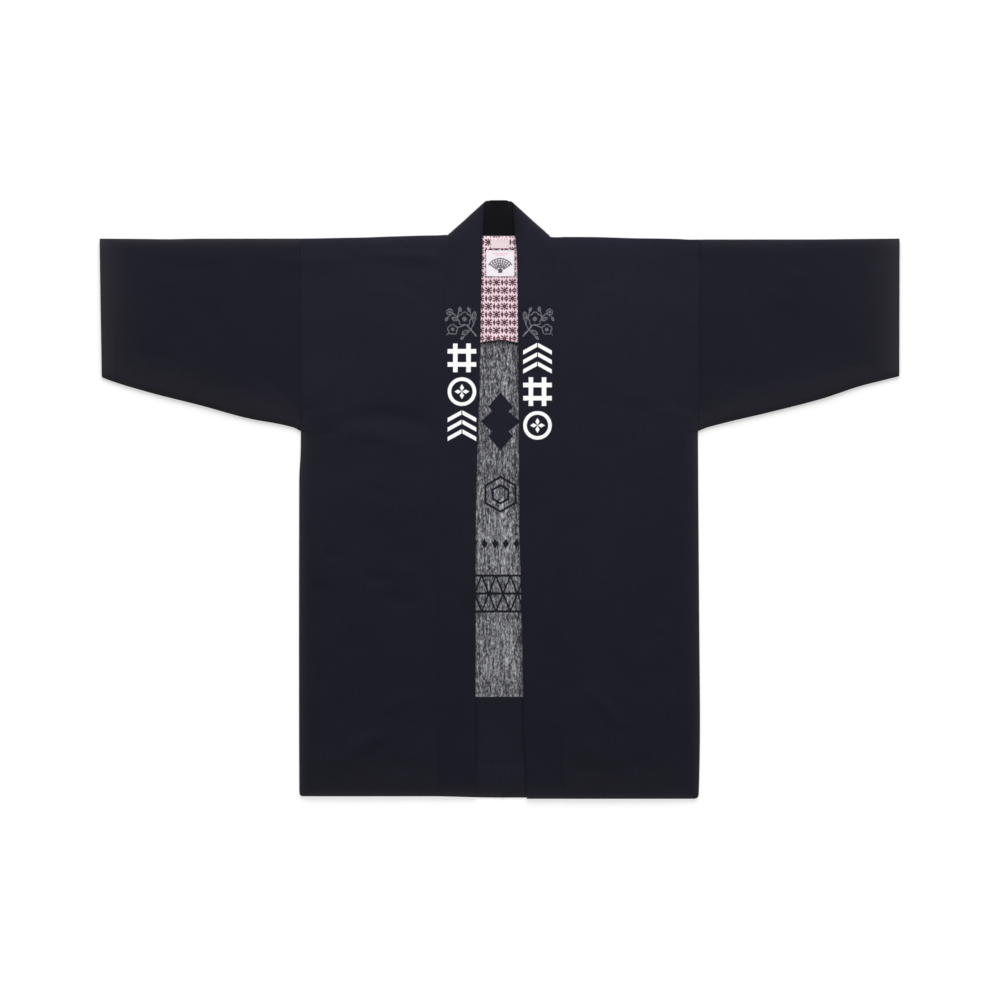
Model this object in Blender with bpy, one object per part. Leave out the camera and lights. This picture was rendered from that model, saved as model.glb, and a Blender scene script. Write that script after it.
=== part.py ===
"""A happi coat laid flat on its back, front up: +X to the wearer's left, +Y towards the neck, +Z up.

The origin is under the middle of the coat, on the surface that it lies on. Sizes are in metres.
Each body length is half of the back and one front in a single cloth folded over the shoulder. Each
sleeve is a flattened tube. The collar is one doubled band that is folded over at each side of the neck.
"""

from collections import namedtuple
from math import cos, pi, radians, sin

import bmesh
import bpy
import numpy as np


def table(columns, *rows):
    """A short table whose rows have named columns."""
    row = namedtuple("row", columns)
    return [row(*values) for values in rows]


# Cloth and gaps
CLOTH = 0.0012
LINING = 0.0010
LABEL = 0.0010
BAND = 0.0028
SEAM_GAP = 0.0003
TOUCHING = 0.0003

# Heights over the surface
FOLD_TIP = 0.0023
PANEL_TOP = 0.0052
PANEL_TOP_AT_SEAM = 0.0046
PANEL_TOP_AT_HEM = 0.0039
CUFF_TOP = 0.0044
SIDE_TIP = 2 * CLOTH + TOUCHING

# How far in from an edge the cloth takes to reach its height
UNDER_ROUND = 0.004
SHOULDER_ROUND = 0.022
UNDERARM_ROUND = 0.018
SIDE_ROUND = 0.024
HEM_ROUND = 0.060
CUFF_ROUND = 0.045
SEAM_EASE = 0.050

# Outline, each distance measured from the origin
NECK_SEAM_Y = 0.3945
NECK_OUT = {"right": 0.0768, "left": 0.0758}
COLLAR_TOP_Y = 0.4478
ARMHOLE_X = 0.2985
BACK_HEM_Y = {"centre": -0.4462, "right": -0.4440, "left": -0.4462}
BACK_HEM_EASE = 0.120
BACK_SEAM_X = 0.0020
FRONT_HEM_Y = {"right": -0.4440, "left": -0.4478}
SIGN = {"right": -1.0, "left": 1.0}

SHOULDER = {
    "right": table(
        "out y",
        (0.077, 0.3950),
        (0.133, 0.3948),
        (0.165, 0.3938),
        (0.225, 0.3923),
        (0.300, 0.3908),
        (0.450, 0.3906),
        (0.490, 0.3894),
        (0.540, 0.3902),
        (0.600, 0.3908),
    ),
    "left": table(
        "out y",
        (0.077, 0.3945),
        (0.140, 0.3936),
        (0.180, 0.3922),
        (0.240, 0.3908),
        (0.300, 0.3896),
        (0.560, 0.3894),
        (0.600, 0.3906),
    ),
}

UNDERARM = {
    "right": table(
        "out y",
        (0.2985, 0.1025),
        (0.3060, 0.1080),
        (0.3285, 0.1138),
        (0.3735, 0.1215),
        (0.4485, 0.1412),
        (0.5235, 0.1598),
        (0.5835, 0.1778),
        (0.6000, 0.1845),
    ),
    "left": table(
        "out y",
        (0.2985, 0.1025),
        (0.3060, 0.1075),
        (0.3315, 0.1143),
        (0.4065, 0.1315),
        (0.4815, 0.1505),
        (0.5415, 0.1702),
        (0.5715, 0.1778),
        (0.6000, 0.1850),
    ),
}

# The cuff's distance from the centre at its top and at its lower corner
CUFF = {"right": (0.5985, 0.5960), "left": (0.5987, 0.5982)}

SIDE = {
    "right": table(
        "y out",
        (-0.4440, 0.2985),
        (-0.4380, 0.2998),
        (-0.2000, 0.3000),
        (0.0300, 0.2996),
        (0.0750, 0.2975),
        (0.1020, 0.2972),
    ),
    "left": table(
        "y out",
        (-0.4478, 0.2975),
        (-0.4380, 0.2985),
        (-0.3300, 0.3000),
        (-0.2000, 0.2990),
        (0.0600, 0.2972),
        (0.1020, 0.2970),
    ),
}

# Where the collar band's sewn edge and its free edge run on each front
COLLAR_LINE = {
    "right": table(
        "y sewn free",
        (-0.4440, 0.0925, 0.0360),
        (-0.1500, 0.0920, 0.0358),
        (0.0600, 0.0900, 0.0342),
        (0.1650, 0.0865, 0.0302),
        (0.3100, 0.0818, 0.0272),
        (0.3950, 0.0768, 0.0252),
        (0.4408, 0.0768, 0.0235),
    ),
    "left": table(
        "y sewn free",
        (-0.4478, 0.0975, 0.0408),
        (-0.3000, 0.0930, 0.0362),
        (-0.0800, 0.0895, 0.0330),
        (0.0600, 0.0880, 0.0313),
        (0.1650, 0.0868, 0.0300),
        (0.3100, 0.0828, 0.0288),
        (0.3945, 0.0756, 0.0278),
        (0.4424, 0.0756, 0.0212),
    ),
}

# The line that the band is folded over on, at each side of the neck: its sewn end and its free end
COLLAR_FOLD = {
    "right": table("out y", (0.0750, 0.3954), (0.0235, 0.4408)),
    "left": table("out y", (0.0742, 0.3948), (0.0212, 0.4424)),
}
COLLAR_FOLD_RADIUS = 0.0016
COLLAR_TURN_EASE = 0.024
COLLAR_FRONT_ROWS = 34
COLLAR_TURN_ROWS = 8
COLLAR_BACK_SHARES = (0.12, 0.32, 0.52, 0.72, 0.93)
COLLAR_LEAN = 8

# Across the band: half its thickness, as a share, is less at its two folded edges
BAND_PROFILE = table("across half", (0.0, 0.28), (0.025, 0.5), (0.5, 0.5), (0.975, 0.5), (1.0, 0.28))

# Height of the middle of the band over each front
COLLAR_HEIGHT = table(
    "y z",
    (-0.4480, 0.0030),
    (-0.3800, 0.0034),
    (0.0500, 0.0036),
    (0.2200, 0.0043),
    (0.3945, 0.0046),
)

# Where the points of a body length lie: shares of the way across the neck, across the front and up the back
NECK_SHARES = (0.36, 0.70, 0.95)
FRONT_SHARES = (0.0, 0.09, 0.18, 0.27, 0.36, 0.45, 0.54, 0.63, 0.72, 0.80, 0.87, 0.93, 0.97, 1.0)
BACK_SHARES = (0.0, 0.2, 0.45, 0.57, 0.63, 0.652, 0.664, 0.8, 1.0)
FRONT_ROWS = 40
ARC_STEPS = (3, 7)

# A sleeve's rings, and the points across its upper and its under face
SLEEVE_SECTIONS = 14
SLEEVE_ACROSS = 10
SLEEVE_UNDER = 3

# The side edge below the armhole: how steeply it falls to the side seam, and how soon below the armpit
ARMPIT_Y = 0.1020
ARMPIT_EASE = 0.0020
SIDE_SLOPE = 0.9
SIDE_CLOSES = 0.015

# Soft troughs and ridges in the upper cloth. Each runs between two points, bowed sideways at its middle.
FOLDS = table(
    "start end bow half_width rise",
    ((-0.560, 0.366), (-0.090, 0.352), 0.004, 0.016, -0.0005),
    ((-0.236, 0.150), (-0.100, 0.130), 0.006, 0.017, -0.0009),
    ((-0.240, 0.116), (-0.105, 0.092), 0.008, 0.015, 0.0006),
    ((-0.236, 0.088), (-0.092, 0.046), 0.009, 0.018, -0.0008),
    ((-0.290, -0.020), (-0.235, -0.120), 0.006, 0.020, -0.0006),
    ((-0.215, -0.215), (-0.120, -0.330), 0.010, 0.024, -0.0005),
    ((-0.420, 0.350), (-0.520, 0.210), 0.008, 0.020, -0.0005),
    ((-0.320, 0.290), (-0.400, 0.160), 0.010, 0.018, 0.0004),
    ((0.100, 0.350), (0.520, 0.362), 0.004, 0.016, -0.0005),
    ((0.285, 0.110), (0.180, 0.190), 0.008, 0.018, -0.0006),
    ((0.130, 0.120), (0.240, 0.080), 0.008, 0.020, -0.0005),
    ((0.136, -0.235), (0.215, -0.350), 0.008, 0.018, -0.0008),
    ((0.165, -0.220), (0.245, -0.325), 0.006, 0.016, 0.0005),
    ((0.285, -0.060), (0.230, -0.160), 0.006, 0.020, -0.0005),
    ((0.330, 0.160), (0.450, 0.300), 0.010, 0.020, -0.0006),
    ((0.480, 0.200), (0.545, 0.330), 0.006, 0.018, -0.0004),
)

YOKE = {"half_width": 0.0750, "bottom_y": 0.2350, "bottom_bow": 0.0020, "steps": 6}
LABELS = table(
    "name x y width height",
    ("label_large", 0.0011, 0.3533, 0.0425, 0.0390),
    ("label_small", 0.0008, 0.3825, 0.0285, 0.0135),
)

COLOURS = {
    "navy": (0.0160, 0.0160, 0.0230, 1.0),
    "collar navy": (0.0135, 0.0135, 0.0200, 1.0),
    "pink": (0.6200, 0.3300, 0.4000, 1.0),
    "white": (0.7900, 0.7200, 0.7700, 1.0),
    "pale pink": (0.8400, 0.6900, 0.7100, 1.0),
}


def at(rows, along, wanted, value):
    """A table's column `wanted` where its column `along` has this value."""
    return float(np.interp(value, [getattr(r, along) for r in rows], [getattr(r, wanted) for r in rows]))


def blend(first, second, share):
    return first + (second - first) * share


def eased(first, second, value):
    """0 at the first value, 1 at the second, level at both."""
    share = min(max((value - first) / (second - first), 0.0), 1.0)
    return share * share * (3.0 - 2.0 * share)


def folds_at(x, y):
    """How far the soft troughs and ridges lift the upper cloth at a point."""
    lift = 0.0
    for fold in FOLDS:
        start, end = np.array(fold.start), np.array(fold.end)
        run = end - start
        length = float(np.hypot(*run))
        place = np.array((x, y)) - start
        along = float(place @ run) / length**2
        if 0.0 < along < 1.0:
            beside = (place[0] * run[1] - place[1] * run[0]) / length
            arch = 4.0 * along * (1.0 - along)
            across = (beside - fold.bow * arch) / fold.half_width
            lift += fold.rise * arch**0.5 * float(np.exp(-across * across))
    return lift


def panel_top(side, x, y):
    """Height of a front's or a sleeve's upper face, away from its rounded edges."""
    out = abs(x)
    from_hem = y - FRONT_HEM_Y[side]
    height = blend(PANEL_TOP_AT_HEM, PANEL_TOP, eased(0.0, HEM_ROUND, from_hem))
    height += (PANEL_TOP_AT_SEAM - PANEL_TOP) * (1.0 - eased(0.0, SEAM_EASE, out - NECK_OUT[side]))
    height += (CUFF_TOP - PANEL_TOP) * eased(CUFF[side][0] - CUFF_ROUND, CUFF[side][0], out)
    return max(height + folds_at(x, y), CLOTH + SIDE_TIP)


def walled(name, outer, inner, present, colour, wraps=False):
    """One closed wall between two grids of points.

    outer and inner hold rows of points. present says whether the cell after row j and column i is cloth.
    """
    rows, columns = len(outer), len(outer[0])
    bands = columns if wraps else columns - 1
    cells = [(j, i) for j in range(rows - 1) for i in range(bands) if present(j, i)]
    mesh = bmesh.new()
    made = {}

    def vertex(grid, layer, j, i):
        key = (layer, j, i % columns)
        if key not in made:
            made[key] = mesh.verts.new(grid[j][i % columns])
        return made[key]

    edges = {}
    for j, i in cells:
        corners = [(j, i), (j, i + 1), (j + 1, i + 1), (j + 1, i)]
        mesh.faces.new([vertex(outer, "outer", *c) for c in corners])
        mesh.faces.new([vertex(inner, "inner", *c) for c in reversed(corners)])
        for start, end in zip(corners, corners[1:] + corners[:1]):
            ends = frozenset(((start[0], start[1] % columns), (end[0], end[1] % columns)))
            edges.setdefault(ends, []).append((start, end))
    for uses in edges.values():
        if len(uses) == 1:
            start, end = uses[0]
            mesh.faces.new(
                [
                    vertex(outer, "outer", *end),
                    vertex(outer, "outer", *start),
                    vertex(inner, "inner", *start),
                    vertex(inner, "inner", *end),
                ]
            )
    bmesh.ops.recalc_face_normals(mesh, faces=mesh.faces[:])
    if mesh.calc_volume(signed=True) < 0:
        bmesh.ops.reverse_faces(mesh, faces=mesh.faces[:])
    return finished(name, mesh, colour)


def finished(name, mesh, colour):
    data = bpy.data.meshes.new(name)
    mesh.to_mesh(data)
    mesh.free()
    data.shade_smooth()
    data.set_sharp_from_angle(angle=radians(40.0))
    data.materials.append(cloth_material(name, colour))
    made = bpy.data.objects.new(name, data)
    bpy.context.scene.collection.objects.link(made)
    return made


def cloth_material(name, colour):
    material = bpy.data.materials.new(name)
    material.use_nodes = True
    shader = material.node_tree.nodes["Principled BSDF"]
    shader.inputs["Base Color"].default_value = COLOURS[colour]
    shader.inputs["Roughness"].default_value = 0.9
    shader.inputs["Metallic"].default_value = 0.0
    return material


def quarter(reach, level, angle):
    """A point on a quarter of a rounded edge, which runs from its tip back by reach and on to a level."""
    return reach * (cos(angle) - 1.0), FOLD_TIP + (level - FOLD_TIP) * sin(angle)


def edge_arc(tip, facing, under, over, tops, steps):
    """Outer and inner (y, z) points round a folded edge, from its underside to its upper face.

    tip is the edge's place and facing is the way it faces along Y, 1 or -1. under and over say how far
    the lower and the upper curve reach back from it, and tops is the height of the upper face there.
    """
    outer, inner = [], []
    for step in range(steps[0]):
        angle = pi / 2 * (1.0 - step / steps[0])
        for points, wall in ((outer, 0.0), (inner, CLOTH)):
            y, z = quarter(under - wall, wall, angle)
            points.append((tip + facing * (y - wall), z))
    for step in range(steps[1] + 1):
        angle = pi / 2 * step / steps[1]
        for points, wall in ((outer, 0.0), (inner, CLOTH)):
            y, z = quarter(over - wall, tops - wall, angle)
            points.append((tip + facing * (y - wall), z))
    return outer, inner


def side_out(side, y):
    """The side edge's distance from the centre: the armhole's line, then the side seam below it."""
    below = eased(ARMPIT_Y + ARMPIT_EASE, ARMPIT_Y - ARMPIT_EASE, y)
    return blend(ARMHOLE_X - SEAM_GAP / 2, at(SIDE[side], "y", "out", y), below)


def front_out(side, y, share):
    """A place across the front, from the collar seam (share 0) to the side edge (share 1)."""
    sewn = at(COLLAR_LINE[side], "y", "sewn", y) + SEAM_GAP / 2
    return blend(sewn, side_out(side, y), share)


def shoulder_y(side, out):
    return at(SHOULDER[side], "out", "y", out)


def back_hem(side, out):
    return blend(BACK_HEM_Y["centre"], BACK_HEM_Y[side], eased(0.0, BACK_HEM_EASE, out))


def back_rows(side, neck_outs, top_outs):
    """The flat back, from its hem to the neck seam and to where the shoulder starts to turn."""
    sign = SIGN[side]
    rows = []
    for up in BACK_SHARES:
        row = []
        for out in neck_outs:
            row.append((sign * out, blend(back_hem(side, out), NECK_SEAM_Y - SEAM_GAP, up)))
        for share, top_out in zip(FRONT_SHARES, top_outs):
            y = blend(back_hem(side, top_out), shoulder_y(side, top_out) - UNDER_ROUND, up)
            row.append((sign * blend(NECK_OUT[side], side_out(side, y), share), y))
        rows.append(row)
    outer = [[(x, y, 0.0) for x, y in row] for row in rows]
    inner = [[(x, y, CLOTH) for x, y in row] for row in rows]
    return outer, inner


def shoulder_rows(side, top_outs):
    """The turn over the shoulder. Its upper half already follows the collar seam."""
    sign = SIGN[side]
    arcs = []
    for out in top_outs:
        edge = shoulder_y(side, out)
        tops = panel_top(side, sign * out, edge - SHOULDER_ROUND)
        arcs.append(edge_arc(edge, 1.0, UNDER_ROUND, SHOULDER_ROUND, tops, ARC_STEPS))
    layers = [], []
    for step in range(1, sum(ARC_STEPS) + 1):
        for layer, rows in enumerate(layers):
            row = []
            for share, top_out, arc in zip(FRONT_SHARES, top_outs, arcs):
                y, z = arc[layer][step]
                out = front_out(side, y, share) if step > ARC_STEPS[0] else top_out
                row.append((sign * out, y, z))
            rows.append(row)
    return layers


def front_rows(side, top_outs):
    """The front, from the end of the shoulder's turn down to its hem."""
    sign = SIGN[side]
    outer, inner = [], []
    for step in range(1, FRONT_ROWS + 1):
        row = []
        for share, top_out in zip(FRONT_SHARES, top_outs):
            start = shoulder_y(side, top_out) - SHOULDER_ROUND
            y = blend(start, FRONT_HEM_Y[side], step / FRONT_ROWS)
            out = front_out(side, y, share)
            inwards = min(max(1.0 - (side_out(side, y) - out) / SIDE_ROUND, 0.0), 1.0)
            at_edge = (1.0 - SIDE_SLOPE**2) ** 0.5
            drop = (1.0 - (1.0 - (SIDE_SLOPE * inwards) ** 2) ** 0.5) / (1.0 - at_edge)
            closed = eased(ARMPIT_Y + SIDE_CLOSES, ARMPIT_Y - SIDE_CLOSES, y)
            top = blend(panel_top(side, sign * out, y), SIDE_TIP, drop * closed)
            row.append((sign * out, y, top))
        outer.append(row)
        inner.append([(x, y, z - CLOTH) for x, y, z in row])
    return outer, inner


def body(side):
    """Half of the back and one front, in one cloth folded over the shoulder."""
    neck_outs = [BACK_SEAM_X * SIGN[side] + SEAM_GAP / 2]
    neck_outs += [NECK_OUT[side] * share for share in NECK_SHARES]
    top_outs = [blend(NECK_OUT[side], side_out(side, NECK_SEAM_Y), share) for share in FRONT_SHARES]
    outer, inner = back_rows(side, neck_outs, top_outs)
    spare = [(0.0, 0.0, 0.0)] * len(neck_outs)
    for part in (shoulder_rows(side, top_outs), front_rows(side, top_outs)):
        outer += [spare + row for row in part[0]]
        inner += [spare + row for row in part[1]]

    def present(j, i):
        return i >= len(neck_outs) or j < len(BACK_SHARES) - 1

    return walled(f"body_{side}", outer, inner, present, "navy")


def sleeve_ring(side, middle, layer):
    """One closed ring of (y, z) points at a distance from the centre: layer 0 outside, 1 inside."""
    top_y = shoulder_y(side, middle)
    low_y = at(UNDERARM[side], "out", "y", middle)

    def tops(y):
        return panel_top(side, SIGN[side] * middle, y)

    lower = edge_arc(low_y, -1.0, UNDER_ROUND, UNDERARM_ROUND, tops(low_y + UNDERARM_ROUND), ARC_STEPS)
    upper = edge_arc(top_y, 1.0, UNDER_ROUND, SHOULDER_ROUND, tops(top_y - SHOULDER_ROUND), ARC_STEPS)
    ring = list(lower[layer])
    first, last = ring[-1][0], upper[layer][-1][0]
    for step in range(1, SLEEVE_ACROSS):
        y = blend(first, last, step / SLEEVE_ACROSS)
        ring.append((y, tops(y) - layer * CLOTH))
    ring += reversed(upper[layer])
    first, last = ring[-1][0], ring[0][0]
    for step in range(1, SLEEVE_UNDER):
        ring.append((blend(first, last, step / SLEEVE_UNDER), layer * CLOTH))
    return ring, low_y, top_y


def sleeve(side):
    """A flattened tube: flat underneath, rounded at its folded top and at its seam, open at both ends."""
    start = ARMHOLE_X + SEAM_GAP / 2
    layers = [], []
    for section in range(SLEEVE_SECTIONS + 1):
        share = section / SLEEVE_SECTIONS
        middle = blend(start, sum(CUFF[side]) / 2, share)
        for layer, rows in enumerate(layers):
            ring, low_y, top_y = sleeve_ring(side, middle, layer)
            row = []
            for y, z in ring:
                cuff = blend(CUFF[side][1], CUFF[side][0], (y - low_y) / (top_y - low_y))
                row.append((SIGN[side] * blend(start, cuff, share), y, z))
            rows.append(row)
    return walled(f"sleeve_{side}", *layers, lambda j, i: True, "navy", wraps=True)


def collar_front(side):
    """Rows of the band over one front, from its hem up: sewn end, free end, the way its face looks.

    The rows lean more and more towards the line that the band is folded over on.
    """
    sign = SIGN[side]
    sewn_end, free_end = COLLAR_FOLD[side]
    rows = []
    for step in range(COLLAR_FRONT_ROWS):
        share = step / COLLAR_FRONT_ROWS
        y = blend(FRONT_HEM_Y[side], sewn_end.y, share)
        free_y = y + (free_end.y - sewn_end.y) * share**COLLAR_LEAN
        near = eased(sewn_end.y - COLLAR_TURN_EASE, sewn_end.y, y)
        sewn = blend(at(COLLAR_LINE[side], "y", "sewn", y) - SEAM_GAP / 2, sewn_end.out, near)
        free = at(COLLAR_LINE[side], "y", "free", free_y)
        height = at(COLLAR_HEIGHT, "y", "z", y)
        rows.append(((sign * sewn, y, height), (sign * free, free_y, height), (0.0, 0.0, 1.0)))
    return rows


def collar_turn(side):
    """Rows round the fold at one side of the neck, from the upper layer down to the lower one."""
    sign = SIGN[side]
    ends = [np.array((sign * end.out, end.y)) for end in COLLAR_FOLD[side]]
    run = ends[1] - ends[0]
    outward = sign * np.array((run[1], -run[0])) / np.hypot(*run)
    rows = []
    for step in range(COLLAR_TURN_ROWS + 1):
        angle = pi * (1.0 - step / COLLAR_TURN_ROWS)
        height = BAND / 2 + COLLAR_FOLD_RADIUS * (1.0 - cos(angle))
        sewn, free = ((*(end + outward * COLLAR_FOLD_RADIUS * sin(angle)), height) for end in ends)
        rows.append((sewn, free, (*(outward * sin(angle)), -cos(angle))))
    return rows


def collar():
    """The doubled band, swept along its whole run from one hem over both folds to the other hem."""
    right, left = collar_turn("right"), collar_turn("left")
    back = []
    for share in COLLAR_BACK_SHARES:
        sewn = (blend(right[-1][0][0], left[-1][0][0], share), NECK_SEAM_Y + SEAM_GAP, BAND / 2)
        free = (blend(right[-1][1][0], left[-1][1][0], share), COLLAR_TOP_Y, BAND / 2)
        back.append((sewn, free, (0.0, 0.0, -1.0)))
    rows = collar_front("right") + right + back + left[::-1] + collar_front("left")[::-1]
    outer, inner = [], []
    for sewn, free, normal in (map(np.array, row) for row in rows):
        outer.append([tuple(blend(sewn, free, p.across) + normal * BAND * p.half) for p in BAND_PROFILE])
        inner.append([tuple(blend(sewn, free, p.across) - normal * BAND * p.half) for p in BAND_PROFILE])
    return walled("collar", outer, inner, lambda j, i: True, "collar navy")


def patch(name, xs, edges, low, thick, colour):
    """A flat piece with its underside at a height: edges gives its lower and upper end at each x."""
    outer = [[(x, edges(x)[end], low + thick) for x in xs] for end in (0, 1)]
    inner = [[(x, edges(x)[end], low) for x in xs] for end in (0, 1)]
    return walled(name, outer, inner, lambda j, i: True, colour)


def yoke_lining():
    half = YOKE["half_width"]

    def edges(x):
        bow = YOKE["bottom_bow"] * (1.0 - (x / half) ** 2)
        return YOKE["bottom_y"] + bow, NECK_SEAM_Y - SEAM_GAP

    xs = [half * step / YOKE["steps"] for step in range(-YOKE["steps"], YOKE["steps"] + 1)]
    return patch("yoke_lining", xs, edges, CLOTH + TOUCHING, LINING, "pink")


def labels():
    low = CLOTH + LINING + 2 * TOUCHING
    for label, colour in zip(LABELS, ("white", "pale pink")):
        xs = (label.x - label.width / 2, label.x + label.width / 2)
        ends = (label.y - label.height / 2, label.y + label.height / 2)
        patch(label.name, xs, lambda x, ends=ends: ends, low, LABEL, colour)


for old in list(bpy.data.objects):
    bpy.data.objects.remove(old)
for each in ("right", "left"):
    body(each)
    sleeve(each)
collar()
yoke_lining()
labels()
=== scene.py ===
from math import cos, pi, radians, sin

import bmesh
import bpy
import numpy as np
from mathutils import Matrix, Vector
from mathutils.bvhtree import BVHTree


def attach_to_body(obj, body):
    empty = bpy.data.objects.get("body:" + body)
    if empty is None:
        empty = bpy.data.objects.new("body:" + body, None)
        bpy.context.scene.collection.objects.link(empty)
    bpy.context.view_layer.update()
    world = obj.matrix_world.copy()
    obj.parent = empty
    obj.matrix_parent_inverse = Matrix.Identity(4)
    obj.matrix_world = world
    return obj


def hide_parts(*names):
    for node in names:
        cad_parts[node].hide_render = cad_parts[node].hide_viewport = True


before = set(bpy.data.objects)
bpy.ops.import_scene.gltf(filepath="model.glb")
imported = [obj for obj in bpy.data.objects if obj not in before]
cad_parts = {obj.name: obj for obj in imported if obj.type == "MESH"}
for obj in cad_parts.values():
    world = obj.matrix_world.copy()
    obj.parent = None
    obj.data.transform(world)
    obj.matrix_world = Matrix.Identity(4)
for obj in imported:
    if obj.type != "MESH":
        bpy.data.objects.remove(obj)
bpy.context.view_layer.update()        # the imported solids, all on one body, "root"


def metres(sizes):
    # a size, or rows or named rows of sizes, given in millimetres
    if isinstance(sizes, dict):
        return {name: metres(rows) for name, rows in sizes.items()}
    return [metres(size) for size in sizes] if isinstance(sizes, (tuple, list)) else sizes / 1000.0


# A happi coat laid flat on its back. +X is the wearer's left, +Y runs to the neck, +Z is up.
# Sizes are in metres, but for those inside metres(), which are in millimetres.
coat = {
    "sign": {"right": -1.0, "left": 1.0},
    "cloth": 0.0009,              # one layer
    "edgeSteps": (0.0, 0.00025, 0.0006, 0.0014, 0.0026, 0.0042),   # close rows of points beside an edge
    "roundSteps": (5, 12),        # rows of points round a folded edge, under and over
    "foldTip": 0.0023,            # height of the outermost line of a folded edge
    "panelTop": 0.0052,           # upper face of the fronts and sleeves, and what it falls to at hem and cuff
    "panelTopAtHem": 0.0039,
    "panelTopAtCuff": 0.0044,
    "belowBand": 0.00035,         # how far the fronts lie below the collar band's upper face at its seam
    "lowest": 0.0026,             # no upper face falls below this
    "sideTop": 0.0027,            # upper face along the side seam
    "underRound": 0.0040,         # how far each edge takes to round over
    "shoulderRound": 0.0180,
    "underarmRound": 0.0120,
    "sideRound": 0.0240,
    "hemRound": 0.0600,
    "cuffRound": 0.0450,
    "seamEase": 0.0500,
    "sideSlope": 0.90,
    "neckY": 0.3945,              # the seam of the back and the collar band
    "neckOut": {"right": 0.0747, "left": 0.0739},
    "armholeOut": 0.2985,
    "armpitY": 0.1020,
    "seamGap": 0.00015,           # from a seam's line to each cloth's edge
    "intoBand": 0.0008,           # how far each front's edge is held inside the collar band
    "backSeamX": 0.0020,
    "frontHemY": {"right": -0.4440, "left": -0.4478},
    "backHemY": {"right": -0.4440, "left": -0.4462, "centre": -0.4462},
    "cuffOut": {"right": (0.5985, 0.5952), "left": (0.5987, 0.5982)},  # at its top, at its lower corner
}

# how far the dye has faded beside each edge, and how much; the lighter edges are partly painted highlight,
# stronger on the right
wearAndEdgeLight = {
    "shoulder": {"right": (0.0060, 0.20), "left": (0.0060, 0.0)},
    "sleeveTop": {"right": (0.0060, 0.70), "left": (0.0060, 0.40)},
    "side": (0.0060, 1.0), "hem": (0.0060, 1.0), "overHem": (0.0450, 0.22),
    "sleeveSeam": (0.0060, 0.9), "overSleeveSeam": (0.0240, 0.40), "cuff": (0.0220, 0.80),
    "neckFold": (0.0045, 0.7), "bandHem": (0.0070, 1.0),
}

# Edges as they lie: (distance out, y) along the shoulders and under the arms, and (y, distance out) down the
# sides and along the collar band's sewn and free edges
edges = metres({
    "shoulder": {
        "right": [
            (75.5, 395), (78.5, 396.4), (91, 395.7), (110, 395.4), (136, 394.7), (165, 393.8), (200, 392.5),
            (225, 392), (300, 390.8), (450, 390.6), (495, 389.8), (540, 390.3), (600, 390.7),
        ],
        "left": [
            (74.5, 394.2), (79, 392.9), (89, 392.8), (98, 393.2), (134, 393.1), (152, 392.8), (205, 391.2),
            (240, 390.8), (270, 390), (286, 389.2), (300, 389.4), (470, 389.5), (520, 390), (600, 390.8),
        ],
    },
    "underarm": {
        "right": [
            (298.5, 102.5), (306, 107), (328.5, 112.7), (373.5, 120.8), (448.5, 140.9), (523.5, 159.8),
            (583.5, 177.8), (600, 184.5),
        ],
        "left": [
            (298.5, 102.5), (306, 106.2), (331.5, 113.4), (406.5, 131.2), (481.5, 150.5), (541.5, 170.2),
            (571.5, 177.8), (600, 185),
        ],
    },
    "side": {
        "right": [
            (-444, 296.2), (-442, 298.6), (-438, 299.6), (-200, 300), (30, 299.6), (75, 297.5), (102, 297.2),
        ],
        "left": [
            (-447.8, 293.5), (-445.6, 296.8), (-442, 298.2), (-330, 300), (-200, 299), (60, 297.2),
            (102, 297),
        ],
    },
    "sewn": {
        "right": [
            (-444, 92.5), (-150, 92), (60, 90), (165, 86.5), (310, 81.8), (360, 78.7), (394, 74.5),
        ],
        "left": [
            (-447.8, 97.5), (-300, 93), (-80, 89.5), (60, 88), (165, 86.8), (310, 82.5), (360, 78.6),
            (393.5, 73.7),
        ],
    },
    "free": {
        "right": [
            (-444, 36), (-150, 35.8), (0, 35), (60, 33.2), (165, 30.2), (310, 27.2), (395, 25.2),
            (440.8, 23.5),
        ],
        "left": [
            (-447.8, 40.8), (-360, 37.8), (-276, 35.2), (-210, 34.2), (-90, 31.1), (-30, 30), (150, 28.7),
            (250, 28), (345, 26.6), (370, 25.6), (394.5, 23.4), (441.5, 20),
        ],
    },
})

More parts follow.
